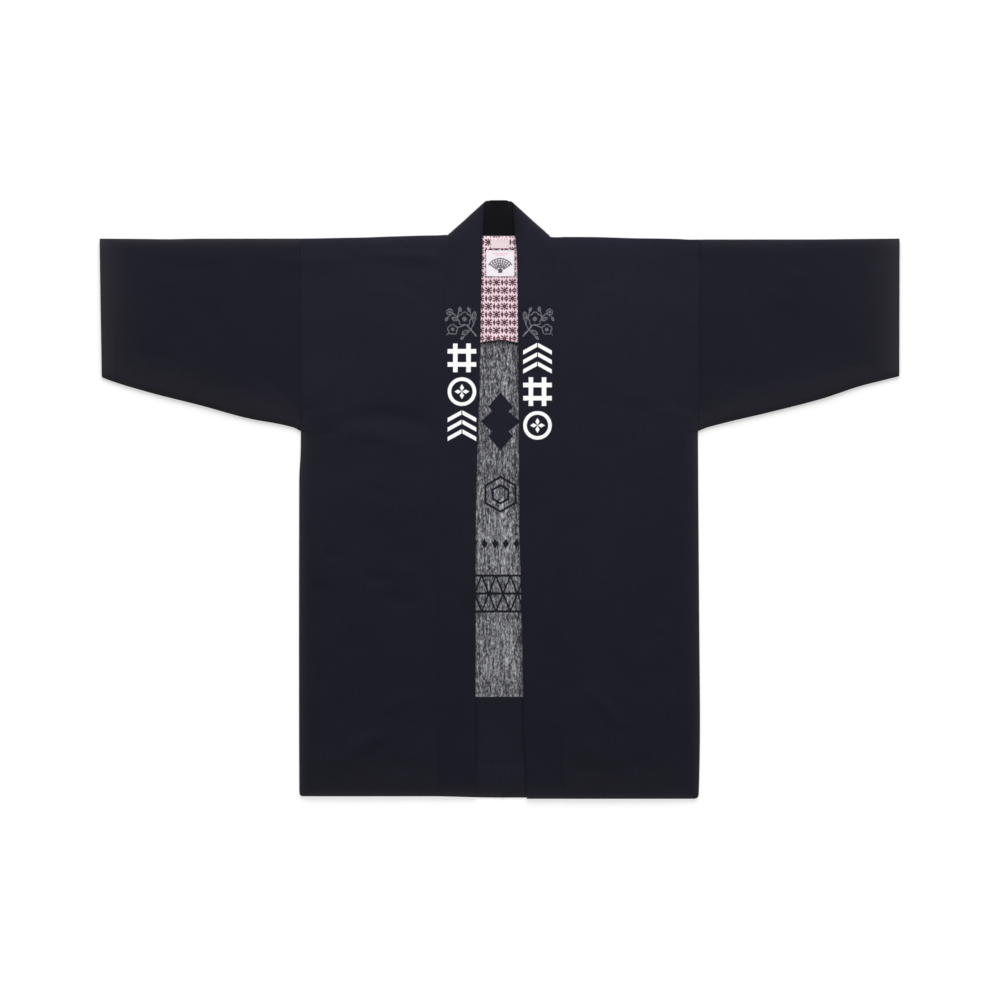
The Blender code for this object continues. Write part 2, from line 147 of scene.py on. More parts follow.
# Troughs and ridges of the fronts and sleeves, each from x, y to x, y, then how far it bows to its left, its
# half width and its rise. The main ones come first, then the small ones of the sewn cloth.
creases = metres([
    (-518, 364, -382, 364, 1, 10, 0.8), (-335, 357, -238, 359, -2, 10.5, 1.1),
    (-206, 367, -74, 359, 3, 8.5, 1.5), (-236, 117, -92, 101, 15, 13.5, -1.9),
    (-250, 96, -106, 64, 12, 10.5, 1), (-290, -133, -258, -140, 2, 13, -1.3),
    (-268, -83, -228, -87, 2, 8, -0.9), (-208, -117, -168, -125, 2, 9.5, -1),
    (-178, -145, -118, -151, -2, 9, -1), (-172, -103, -130, -107, 3, 13, 1),
    (-232, -385, -160, -344, 3, 9.5, 1.5), (-184, -319, -118, -298, 3, 12, 0.9),
    (-296, -393, -228, -391, 2, 12, 0.7), (-210, -405, -30, -400, 2, 14, -0.9),
    (-484, 288, -436, 233, 2, 9, 0.6), (-562, 187, -320, 127, -2, 15, 0.8), (100, 362, 272, 364, 2, 10, 0.4),
    (286, 358, 322, 354, 1, 7.5, -0.7), (128, -272, 192, -343, -4, 9.5, 1.6),
    (120, -326, 160, -376, -3, 9, -0.5), (84, -220, 122, -224, 2, 28, 1.3), (182, -236, 242, -242, 3, 17, 1),
    (60, -401, 240, -404, -3, 16, -1), (396, 312, 448, 290, 1, 8, 0.6), (320, 127, 560, 187, 2, 15, 0.8),
    (150, 142, 252, 112, 8, 13, -0.6), (285, -60, 230, -160, 6, 14, -0.5),

    (-297, 125, -245, 170, -4, 5, -0.6), (-297, 118, -225, 138, -3, 6, 0.5),
    (-292, 92, -240, 98, 3, 5.5, -0.55), (-302, 128, -362, 190, -5, 6, -0.6),
    (-305, 120, -380, 150, 4, 7, 0.5), (-205, 312, -120, 298, 3, 7, 0.4), (-150, 330, -98, 290, -4, 7, -0.4),
    (-285, -190, -262, -300, -4, 7, -0.5), (-250, -380, -170, -412, -3, 6, 0.45),
    (-130, -120, -108, -215, -3, 7, -0.4), (-215, 20, -150, -4, 4, 8, -0.5),
    (-565, 352, -548, 250, -3, 6, 0.45), (-470, 200, -560, 222, -4, 7, -0.45),
    (-530, 320, -450, 335, -3, 7, 0.4), (297, 124, 250, 164, 4, 5, -0.6), (297, 116, 230, 130, -3, 6, 0.5),
    (290, 88, 244, 70, -3, 5.5, -0.45), (302, 128, 352, 186, 5, 6, -0.6), (306, 120, 372, 146, -4, 7, 0.5),
    (120, 318, 190, 338, -3, 6, -0.4), (262, 20, 236, -50, -4, 7, 0.4), (122, -60, 140, -150, -4, 7, -0.4),
    (190, -395, 262, -372, -3, 6, -0.45), (235, -240, 276, -300, -4, 6, -0.45),
    (552, 345, 570, 240, -3, 6, 0.45), (455, 178, 560, 205, 3, 7, -0.45), (400, 352, 470, 330, -3, 7, 0.4),
])


def table(pairs, value):
    # the second number of each pair, where the first has this value, on a smooth line that doesn't overshoot
    at, height = np.array(pairs).T
    step = np.diff(at)
    rise = np.diff(height) / step
    before, after = rise[:-1], rise[1:]
    onward = before * after > 0.0
    slope = np.concatenate([rise[:1], np.zeros(len(before)), rise[-1:]])
    slope[1:-1][onward] = 2.0 * before[onward] * after[onward] / (before + after)[onward]
    n = np.clip(np.searchsorted(at, value) - 1, 0, len(step) - 1)
    share = np.clip((value - at[n]) / step[n], 0.0, 1.0)
    level = mix(height[n], height[n + 1], share * share * (3.0 - 2.0 * share))
    return level + step[n] * share * (1.0 - share) * (slope[n] * (1.0 - share) - slope[n + 1] * share)


def edgeAt(name, side, value):
    return table(edges[name][side], value)


def mix(first, second, share):
    return first + (second - first) * share


def ease(first, second, value):
    # 0 at first, 1 at second, level at both
    share = np.clip((value - first) / (second - first), 0.0, 1.0)
    return share * share * (3.0 - 2.0 * share)


def roundOver(share):
    # a quarter circle's rise, from 0 to 1
    return np.sqrt(1.0 - (1.0 - np.clip(share, 0.0, 1.0)) ** 2)


def bump(value, middle, halfWidth):
    return np.exp(-(((value - middle) / halfWidth) ** 2))


def spaced(length, step, near=(0.0,), far=(0.0,)):
    # shares of a length: the near and far distances from its two ends, and even steps between them
    count = max(int(round((length - near[-1] - far[-1]) / step)), 1)
    middle = np.linspace(near[-1], length - far[-1], count + 1)
    places = list(near[:-1]) + list(middle) + [length - d for d in reversed(far[:-1])]
    return np.array(places) / length


def ripple(x, y, cell, seed):
    # smooth bumps about one cell across, from -1 to 1, the same in each run
    grid = np.random.default_rng(seed).uniform(-1.0, 1.0, (64, 64))
    u, v = x / cell, y / cell
    i, j = np.floor(u).astype(int), np.floor(v).astype(int)
    s, t = ease(0.0, 1.0, u - i), ease(0.0, 1.0, v - j)
    low, high = (mix(grid[i % 64, row % 64], grid[(i + 1) % 64, row % 64], s) for row in (j, j + 1))
    return mix(low, high, t)


def besideLine(x, y, x0, y0, x1, y1):
    # how far along a straight line points lie, as a share of its length, how far to its left, and its length
    runX, runY = x1 - x0, y1 - y0
    length = np.hypot(runX, runY)
    x, y = x - x0, y - y0
    return (x * runX + y * runY) / length**2, (y * runX - x * runY) / length, length


def creaseLift(x, y, rows):
    lift = 0.0
    for *ends, bow, halfWidth, rise in rows:
        share, beside, _ = besideLine(x, y, *ends)
        arch = np.clip(4.0 * share * (1.0 - share), 0.0, 1.0)
        lift = lift + rise * arch**0.7 * bump(beside, bow * arch, halfWidth)
    return lift


def onSide(side, pairs):
    # points given as (distance out, y), on their side of the coat
    return [(coat["sign"][side] * out, y) for out, y in pairs]


def distanceTo(x, y, path):
    # how far points are from a line through the path's points
    nearest = 1.0
    for start, end in zip(path, path[1:]):
        share, beside, length = besideLine(x, y, *start, *end)
        nearest = np.minimum(nearest, np.hypot(beside, (share - np.clip(share, 0.0, 1.0)) * length))
    return nearest


surfaceFeel = {
    "slackCell": 0.055, "slack": 0.00045,       # broad unevenness of cloth that lies loose
    "looseFrom": 0.020,                         # how far from the band's seam the cloth is all loose
    "crumpleCell": 0.017, "crumple": 0.00015,   # small unevenness
    "hemDepth": 0.040, "hemStep": 0.00035,      # the turned-up hem of the fronts
    "cuffDepth": 0.022, "cuffStep": 0.00030,
    "hemEdge": 0.003, "hemEdgeInside": 0.002,   # how far the step at a hem's inner edge takes
    "stitchIn": 0.001, "stitchDip": 0.00022, "stitchDipWidth": 0.0011,
    "armholeDip": 0.00040, "armholeDipWidth": 0.0016,
    "armholeRidge": 0.00040, "armholeRidgeWidth": 0.0040, "armholeRidgeAt": 0.0055, "armholeStarts": 0.004,
    "puckerLength": 0.014, "pucker": 0.00022, "puckerPitch": 0.0150,
    "puckerWander": 3.0, "puckerCells": (0.04, 0.03),
}


def topHeight(side, x, y):
    # the upper face of a front or a sleeve, away from its rounded edges
    feel, cuffOut = surfaceFeel, coat["cuffOut"][side][0]
    out, fromHem = np.abs(x), y - coat["frontHemY"][side]
    height = mix(coat["panelTopAtHem"], coat["panelTop"], ease(0.0, coat["hemRound"], fromHem))
    fromSeam = out - edgeAt("sewn", side, y)
    atSeam = table(collar["middle"], y) + collar["thick"] / 2.0 - coat["belowBand"]
    height = mix(atSeam, height, ease(0.0, coat["seamEase"], fromSeam))
    toCuff = ease(cuffOut - coat["cuffRound"], cuffOut, out)
    height = height + (coat["panelTopAtCuff"] - coat["panelTop"]) * toCuff
    slack = creaseLift(x, y, creases) + feel["slack"] * ripple(x, y, feel["slackCell"], 11)
    height = height + slack * ease(0.0, feel["looseFrom"], fromSeam)
    height = height + feel["crumple"] * ripple(x, y, feel["crumpleCell"], 12)
    # the doubled hems stand a little higher, with a sunk line where they are sewn
    for name, inward in (("hem", fromHem), ("cuff", cuffOut - out)):
        depth = feel[name + "Depth"]
        height = height + feel[name + "Step"] * (1.0 - ease(depth, depth + feel["hemEdge"], inward))
        height = height - feel["stitchDip"] * bump(inward, depth - feel["stitchIn"], feel["stitchDipWidth"])
    # the armhole seam: a groove, a ridge on the body where the allowance is pressed, and small puckers
    fromArmhole = out - coat["armholeOut"]
    groove = feel["armholeDip"] * bump(fromArmhole, 0.0, feel["armholeDipWidth"])
    ridge = feel["armholeRidge"] * bump(fromArmhole, -feel["armholeRidgeAt"], feel["armholeRidgeWidth"])
    wander, strength = (ripple(x * 0.0, y, cell, 13 + n) for n, cell in enumerate(feel["puckerCells"]))
    waves = np.sin(2.0 * pi * y / feel["puckerPitch"] + feel["puckerWander"] * wander)
    waves = waves * (0.5 + 0.5 * strength)
    pucker = feel["pucker"] * waves * bump(fromArmhole, 0.0, feel["puckerLength"])
    atArmhole = ease(coat["armpitY"], coat["armpitY"] + feel["armholeStarts"], y)
    height = height + atArmhole * (ridge - groove + pucker)
    return np.maximum(height, coat["lowest"])


def softenEdge(outer, inner, distance, reach=0.00055, least=0.22):
    # rounds a raw edge by drawing both faces together over the last half millimetre
    keep = np.maximum(roundOver(distance / reach), least)[..., None]
    middle = (outer + inner) / 2.0
    return middle + (outer - middle) * keep, middle + (inner - middle) * keep


def points(x, y, z):
    return np.stack(np.broadcast_arrays(x, y, z), axis=-1).astype(float)


def sewTogether(name, patches, materials):
    # One closed cloth from patches that share their edges. A patch is its outer and its inner grid of points
    # and the material of each face. Where a patch ends free, a narrow wall joins the two faces.
    outer, inner = (np.concatenate([patch[n].reshape(-1, 3) for patch in patches]) for n in (0, 1))
    rounded = np.round(outer * 1e5).astype(np.int64)     # points within a hundredth of a millimetre are one
    _, first, index = np.unique(rounded, axis=0, return_index=True, return_inverse=True)
    index, count = index.reshape(-1), len(first)
    faces, finishes, start = [], [], 0
    for grid, _, outside, inside in patches:
        rows, columns = grid.shape[:2]
        ids = index[start:start + rows * columns].reshape(rows, columns)
        start += rows * columns
        cells = np.stack([ids[:-1, :-1], ids[:-1, 1:], ids[1:, 1:], ids[1:, :-1]], axis=-1).reshape(-1, 4)
        for a, b, c, d in cells.tolist():
            corners = [v for v, before in zip((a, b, c, d), (d, a, b, c)) if v != before]
            if len(corners) > 2:
                faces += [corners, [v + count for v in reversed(corners)]]
                finishes += [outside, inside]
    sides = {}
    for corners in faces[::2]:
        for a, b in zip(corners, corners[1:] + corners[:1]):
            sides.setdefault((min(a, b), max(a, b)), []).append((a, b))
    rims = [uses[0] for uses in sides.values() if len(uses) == 1]
    faces += [[b, a, a + count, b + count] for a, b in rims]
    finishes += [0] * len(rims)
    return makeMesh(name, np.concatenate([outer[first], inner[first]]), faces, finishes, materials)


def makeMesh(name, places, faces, finishes, materials):
    data = bpy.data.meshes.new(name)
    data.from_pydata(np.asarray(places).tolist(), [], faces)
    for material in materials:
        data.materials.append(material)
    data.polygons.foreach_set("material_index", finishes)
    shape = bmesh.new()
    shape.from_mesh(data)
    bmesh.ops.recalc_face_normals(shape, faces=shape.faces[:])
    if shape.calc_volume(signed=True) < 0:
        bmesh.ops.reverse_faces(shape, faces=shape.faces[:])
    shape.to_mesh(data)
    shape.free()
    data.shade_smooth()
    piece = bpy.data.objects.new(name, data)
    bpy.context.scene.collection.objects.link(piece)
    print("  ", name, len(data.polygons), "faces")
    return piece


def attach(piece, node=None):
    # every piece is on the one body, and the cloth takes its solid's place
    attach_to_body(piece, "root")
    if node:
        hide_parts(node)
    return piece


def keepAtPoints(piece, name, worth):
    # keeps a number with each point, worked out from its x and y, which the cloth's finish reads
    corners = np.empty(len(piece.data.vertices) * 3, np.float32)
    piece.data.vertices.foreach_get("co", corners)
    kept = piece.data.attributes.new(name, "FLOAT", "POINT")
    kept.data.foreach_set("value", worth(corners[0::3], corners[1::3]).astype(np.float32))


def wearAndEdgeLightAlong(piece, *lines):
    # how much the dye has faded, with painted highlight, from each line's path and its row of the table
    keepAtPoints(piece, "wearAndEdgeLight", lambda x, y: np.max(
        [strong * np.exp(-distanceTo(x, y, path) / reach) for path, (reach, strong) in lines], axis=0))


def addNode(tree, kind, values, **settings):
    # a new node of a material. Its sockets, given by name or number, get a plain value or a link.
    node = tree.nodes.new("ShaderNode" + kind)
    for name, setting in settings.items():
        setattr(node, name, setting)
    for name, value in values.items():
        value = value.socket if isinstance(value, Wire) else value
        if isinstance(value, bpy.types.NodeSocket):
            tree.links.new(value, node.inputs[name])
        else:
            node.inputs[name].default_value = value
    return node


def mathStep(operation):
    return lambda wire, *others: wire.make(operation, *others)


class Wire:
    # a number inside a material, used in sums as a plain number is
    def __init__(self, tree, socket):
        self.tree, self.socket = tree, socket

    def make(self, operation, *others):
        values = dict(enumerate((self, *others)))
        return Wire(self.tree, addNode(self.tree, "Math", values, operation=operation).outputs[0])

    __add__ = __radd__ = mathStep("ADD")
    __mul__ = __rmul__ = mathStep("MULTIPLY")
    __sub__ = mathStep("SUBTRACT")
    __abs__ = mathStep("ABSOLUTE")
    least = mathStep("MINIMUM")
    most = mathStep("MAXIMUM")
    above = mathStep("GREATER_THAN")

    def __neg__(self):
        return self * -1.0

    def __rsub__(self, other):
        return -self + other

    def share(self):
        # held between 0 and 1
        return self.most(0.0).least(1.0)

    def wrap(self, period):
        # the distance to the nearest multiple of the period
        return (self * (1.0 / period)).make("PINGPONG", 0.5) * period

    def repeat(self, period):
        # from minus half the period to half of it, again and again
        return self.make("FLOORED_MODULO", period) - period / 2.0

    def inside(self, soft):
        # 1 where a signed distance is below zero, 0 above it, with a soft step
        return (0.5 - self * (1.0 / soft)).share()

    def between(self, low, high):
        node = addNode(self.tree, "MapRange", {"Value": self, "To Min": low, "To Max": high})
        return Wire(self.tree, node.outputs["Result"])


def rgb(*screen):
    # a colour given as 0 to 255 on a screen
    shares = (value / 255.0 for value in screen)
    return (*(v / 12.92 if v <= 0.04045 else ((v + 0.055) / 1.055) ** 2.4 for v in shares), 1.0)


def chequer(x, y, cell):
    # 0 and 1 in turn, as on a chequered board
    column, row = ((along * (1.0 / cell)).make("FLOOR") for along in (x, y))
    return (column + row).make("FLOORED_MODULO", 2.0)


class Finish:
    # a new material, with short ways to its place, noises and colours
    def __init__(self, name, roughness=0.9, sheen=0.0, specular=0.15):
        self.material = bpy.data.materials.new(name)
        self.material.use_nodes = True
        self.tree = self.material.node_tree
        self.shader = self.tree.nodes["Principled BSDF"]
        for socket, value in (("Roughness", roughness), ("Specular IOR Level", specular),
                              ("Sheen Weight", sheen), ("Sheen Roughness", 0.45)):
            self.shader.inputs[socket].default_value = value
        self.place = addNode(self.tree, "TexCoord", {}).outputs["Object"]
        split = addNode(self.tree, "SeparateXYZ", {0: self.place})
        self.x, self.y = (Wire(self.tree, split.outputs[n]) for n in (0, 1))

    def noise(self, perMetre, detail=2.0, roughness=0.5):
        # perMetre is how many bumps there are in a metre, the same each way or along X, Y and Z
        scale = perMetre if isinstance(perMetre, tuple) else (perMetre,) * 3
        stretched = addNode(self.tree, "Mapping", {"Vector": self.place, "Scale": scale}).outputs[0]
        node = addNode(self.tree, "TexNoise", {
            "Vector": stretched, "Scale": 1.0, "Detail": detail, "Roughness": roughness})
        return Wire(self.tree, node.outputs["Fac"])

    def rough(self, perMetre, size):
        # an uneven shift of a drawn edge, about as large as the size from side to side
        return (self.noise(perMetre) - 0.5) * size

    def weave(self, pitch):
        # a plain weave: threads along X and along Y pass over each other in turn
        acrossX, acrossY = (along.wrap(pitch) * (2.0 / pitch) for along in (self.x, self.y))
        over = chequer(self.x, self.y, pitch)
        return acrossX * over + acrossY * (1.0 - over)

    def blend(self, share, first, second):
        # sockets 6 and 7 take the two colours, and output 2 gives the blended one
        return addNode(self.tree, "Mix", {0: share, 6: first, 7: second}, data_type="RGBA").outputs[2]

    def colour(self, socket):
        self.tree.links.new(socket, self.shader.inputs["Base Color"])
        return self.material

    def dull(self, wire):
        self.tree.links.new(wire.socket, self.shader.inputs["Roughness"])

    def stored(self, name):
        # a number that the mesh keeps at each point
        return Wire(self.tree, addNode(self.tree, "Attribute", {}, attribute_name=name).outputs["Fac"])

    def raised(self, wire, height):
        node = addNode(self.tree, "Bump", {"Height": wire, "Strength": 1.0, "Distance": height})
        self.tree.links.new(node.outputs["Normal"], self.shader.inputs["Normal"])


# Signed distances to plain figures, negative inside them

def disc(u, v, radius):
    return (u * u + v * v).make("SQRT") - radius


def box(u, v, halfWidth, halfHeight):
    return (abs(u) - halfWidth).most(abs(v) - halfHeight)


def diamond(u, v, halfWidth, halfHeight):
    flatness = halfWidth * halfHeight / np.hypot(halfWidth, halfHeight)
    return abs(u) * (flatness / halfWidth) + abs(v) * (flatness / halfHeight) - flatness


def hexagon(u, v, reach):
    return (abs(u) * cos(pi / 6.0) + abs(v) * 0.5).most(abs(v)) - reach


def segment(u, v, start, end):
    # the distance from a straight line between two points
    runU, runV = end[0] - start[0], end[1] - start[1]
    across = runU**2 + runV**2
    share = ((u - start[0]) * (runU / across) + (v - start[1]) * (runV / across)).share()
    return disc(u - start[0] - share * runU, v - start[1] - share * runV, 0.0)


def line(distance, width):
    return abs(distance) - width / 2.0


def leastOf(figures):
    # several figures as one
    whole = figures[0]
    for figure in figures[1:]:
        whole = whole.least(figure)
    return whole


navyCloth = {
    "dark": rgb(21, 21, 31), "light": rgb(31, 31, 43), "fadedAndLit": rgb(45, 43, 48),
    "warpStreak": (1500.0, 45.0, 300.0),      # bumps in a metre: thin threads that run along Y
    "weftStreak": (45.0, 1500.0, 300.0),
    "cloudy": 9.0, "threadsShare": 0.75, "cloudsShare": 0.50, "threadsRaised": 0.5,
    "threadPitch": 0.00064, "threadHeight": 0.00008, "wearAndLightUneven": (0.55, 1.25),
    "roughness": (0.84, 0.96), "sheen": 0.05, "specular": 0.10,
}


def navyBase(name, values):
    # the indigo cotton: slub threads both ways, a cloudy dye and a plain weave
    finish = Finish(name, sheen=values["sheen"], specular=values["specular"])
    threads = finish.noise(values["warpStreak"]) + finish.noise(values["weftStreak"])
    clouds = finish.noise(values["cloudy"], detail=3.0)
    share = (threads * values["threadsShare"] + clouds * values["cloudsShare"] - 0.5).share()
    finish.dull(threads.between(*values["roughness"]))
    relief = finish.weave(values["threadPitch"]) + threads * values["threadsRaised"]
    finish.raised(relief, values["threadHeight"])
    # wear and painted highlight: the cloth turns lighter beside its edges
    fadedAndLit = finish.stored("wearAndEdgeLight") * threads.between(*values["wearAndLightUneven"])
    cloth = finish.blend(share, values["dark"], values["light"])
    return finish, finish.blend(fadedAndLit.least(1.0), cloth, values["fadedAndLit"])


def navyFinish(name, **changes):
    finish, cloth = navyBase(name, {**navyCloth, **changes})
    return finish.colour(cloth)


backFigures = {
    "navy": rgb(34, 34, 47), "greyDark": rgb(50, 50, 56), "greyLight": rgb(205, 206, 211),
    # the heather's streaks, slubs, flecks and broad patches: bumps in a metre, detail, roughness and weight
    "heather": (((340.0, 110.0, 100.0), 3.0, 0.62, 0.45), ((310.0, 26.0, 100.0), 1.0, 0.50, 0.30),
                ((560.0, 240.0, 300.0), 2.0, 0.60, 0.55), ((14.0, 9.0, 9.0), 1.0, 0.50, 0.15)),
    "darker": 0.776, "contrast": 2.9, "depth": 1.6, "wearAndLightShare": 0.2,
    # it darkens a little towards the neck, and towards the left front as painted shade beside the left band's
    # free edge
    "evenY": 0.020, "fadesDown": 0.30, "bandShadeFromX": 0.0195, "bandShadeRate": 10.0,
    "fieldMiddleY": 0.0474, "field": (0.0690, 0.3426),
    "middleX": 0.0015, "lineWidth": 0.0034, "leanWidth": 0.0027, "bleed": 0.0012,
    "fieldSoft": 0.0004, "soft": 0.0006,
    # figures, from the neck down; sizes are half of what they measure
    "lozengeY": 0.1170, "lozenge": (0.0300, 0.02552), "lozengeSide": 0.0220, "lozengeSides": (0.0186, 0.0220),
    "hexagonY": 0.0080, "hexagons": (0.0225, 0.0117),
    "spotY": -0.0660, "spot": (0.0048, 0.0075), "spotPitch": 0.0160,
    "bandY": -0.1407, "bandHalf": 0.0268, "bandPitch": 0.0214, "bandX": 0.0054,
}


def figuredBack(values):
    # The inner face of the back. A heathered grey field holds dark figures, all of it dyed and not raised.
    finish, navy = navyBase("navyCottonBackInside", {**navyCloth, "light": values["navy"]})
    x, y, lineWidth = finish.x, finish.y, values["lineWidth"]
    heather = [finish.noise(*noise) for *noise, _ in values["heather"]]
    share = sum(noise * row[-1] for noise, row in zip(heather, values["heather"]))
    share = (share - values["darker"]) * values["contrast"] + 0.5
    share = share - (y - values["evenY"]) * values["fadesDown"]
    # painted shade beside the left band's free edge
    share = share - ((x - values["bandShadeFromX"]) * values["bandShadeRate"]).most(0.0)
    # wear and painted highlight lighten the grey too
    share = (share + finish.stored("wearAndEdgeLight") * values["wearAndLightShare"]).share().make("POWER", values["depth"])
    grey = finish.blend(share, values["greyDark"], values["greyLight"])
    # a pine-bark lozenge: one diamond crossed by two smaller ones
    u, v = x - values["middleX"], y - values["lozengeY"]
    figures = diamond(u, v, *values["lozenge"])
    figures = figures.least(diamond(u, abs(v) - values["lozengeSide"], *values["lozengeSides"]))
    # two nested hexagons in thin line
    for reach in values["hexagons"]:
        figures = figures.least(line(hexagon(y - values["hexagonY"], u, reach), lineWidth))
    # a row of small diamonds
    figures = figures.least(diamond(u.repeat(values["spotPitch"]), y - values["spotY"], *values["spot"]))
    # the band of triangles: three rules and crossing diagonals between them
    v, tall = abs(y - values["bandY"]), values["bandHalf"]
    lean = tall / (values["bandPitch"] / 2.0)
    slope = ((x - values["bandX"]).wrap(values["bandPitch"]) * lean - v) * (1.0 / np.hypot(lean, 1.0))
    figures = figures.least(line(v - tall, lineWidth)).least(line(v, lineWidth))
    figures = figures.least(line(slope, values["leanWidth"]).most(v - tall))
    figures = figures + (heather[2] - 0.5) * values["bleed"]
    field = box(x, y - values["fieldMiddleY"], *values["field"])
    share = field.inside(values["fieldSoft"]) * (1.0 - figures.inside(values["soft"]))
    return finish.colour(finish.blend(share, navy, grey))


body = {
    "cell": 0.0048,
    "neckCell": 0.012,
    "armpitSteps": (0.0, 0.0012, 0.003),
    "overSeamSteps": np.arange(0.0, 0.0135, 0.00045).tolist(),   # close rows of points over the centre seam
    "armholeLong": 0.27,
    "sideSteps": 8,
    "hemThick": 0.0006,                       # what the front's turned-up hem adds inside
    "hemFoldY": -0.4005, "hemFold": 0.00060,  # the back's hem is turned up on the inside
    "hemFoldEdge": 0.0006, "hemSewnIn": 0.0012, "hemDip": 0.00020, "hemDipWidth": 0.0012,
    # the back's slight waves: their height, how much of it is always there, and their cell
    "backWave": 0.00012, "backWaveLeast": 0.6, "backWaveCell": 0.03, "backWaveFromHem": 0.02,
    # how near the side seam and the neck the walls are plain again
    "frontPlainAtSide": 0.012, "backPlainAtSide": 0.010, "backPlainAtNeck": 0.03, "lessUnderNeck": 0.02,
    # how the side seam starts at the armpit, above and below its level
    "sideStarts": (0.0006, 0.0014), "sideRoundStarts": 0.0012, "armholeEnds": 0.006, "armholeEndStep": 0.002,
    # the centre seam's allowance, which the right half carries over the left one. It thins to its edge,
    # and where the lining covers it.
    "allowanceOut": 0.0075, "allowanceThick": 0.00035, "allowanceThins": 0.75, "overLeft": 0.00003,
    "stepOver": (0.0016, 0.0002),
    "allowanceUnderLining": 0.00020, "liningFrom": (0.222, 0.232),
}


def sideOut(side, y):
    high, low = body["sideStarts"]
    below = ease(coat["armpitY"] + high, coat["armpitY"] - low, y)
    return mix(coat["armholeOut"] - coat["seamGap"], edgeAt("side", side, y), below)


def sideInset(y):
    # the side seam is a rounded edge below the armhole, and the panel stops short of its outermost line
    return coat["sideTop"] / 2.0 * ease(coat["armpitY"] + body["sideRoundStarts"], coat["armpitY"], y)


def toArmhole(side, out, y):
    # the distance to the open edge at the armhole, which ends at the armpit
    ends = ease(coat["armpitY"] + body["armholeEnds"], coat["armpitY"], y)
    return sideOut(side, y) - out + body["armholeEndStep"] * ends


def frontOut(side, y, share):
    return mix(edgeAt("sewn", side, y) + coat["seamGap"], sideOut(side, y) - sideInset(y), share)


def frontTop(side, x, y):
    # the front's upper face, which falls to the side seam below the armhole
    closed = 1.0 - roundOver((y - coat["armpitY"]) / coat["underarmRound"])
    reach = np.clip(1.0 - (sideOut(side, y) - np.abs(x)) / coat["sideRound"], 0.0, 1.0)
    slope = coat["sideSlope"]
    drop = (1.0 - np.sqrt(1.0 - (slope * reach) ** 2)) / (1.0 - np.sqrt(1.0 - slope**2))
    return mix(topHeight(side, x, y), coat["sideTop"], np.clip(drop * closed, 0.0, 1.0))


def foldOver(tip, facing, over, tops):
    # Rows round a folded edge from its underside to its upper face: (y, z) outside and inside the cloth.
    # tip is the edge's place and facing the way it looks along Y.
    cloth, height, steps = coat["cloth"], coat["foldTip"], coat["roundSteps"]
    turns = [(pi / 2 * (1.0 - n / steps[0]), coat["underRound"], False) for n in range(steps[0])]
    turns += [(pi / 2 * n / steps[1], over, True) for n in range(steps[1] + 1)]
    return [[(tip + facing * ((reach - wall) * (cos(angle) - 1.0) - wall),
              mix(height, tops - wall if up else wall, sin(angle))) for angle, reach, up in turns]
            for wall in (0.0, cloth)]


def doubledHem(name, inward):
    # 1 where a hem or a cuff is doubled on the inside, 0 beyond its inner edge
    depth = surfaceFeel[name + "Depth"]
    return 1.0 - ease(depth, depth + surfaceFeel["hemEdgeInside"], inward)


def backHem(side, out):
    return mix(coat["backHemY"]["centre"], coat["backHemY"][side], ease(0.0, 0.120, out))


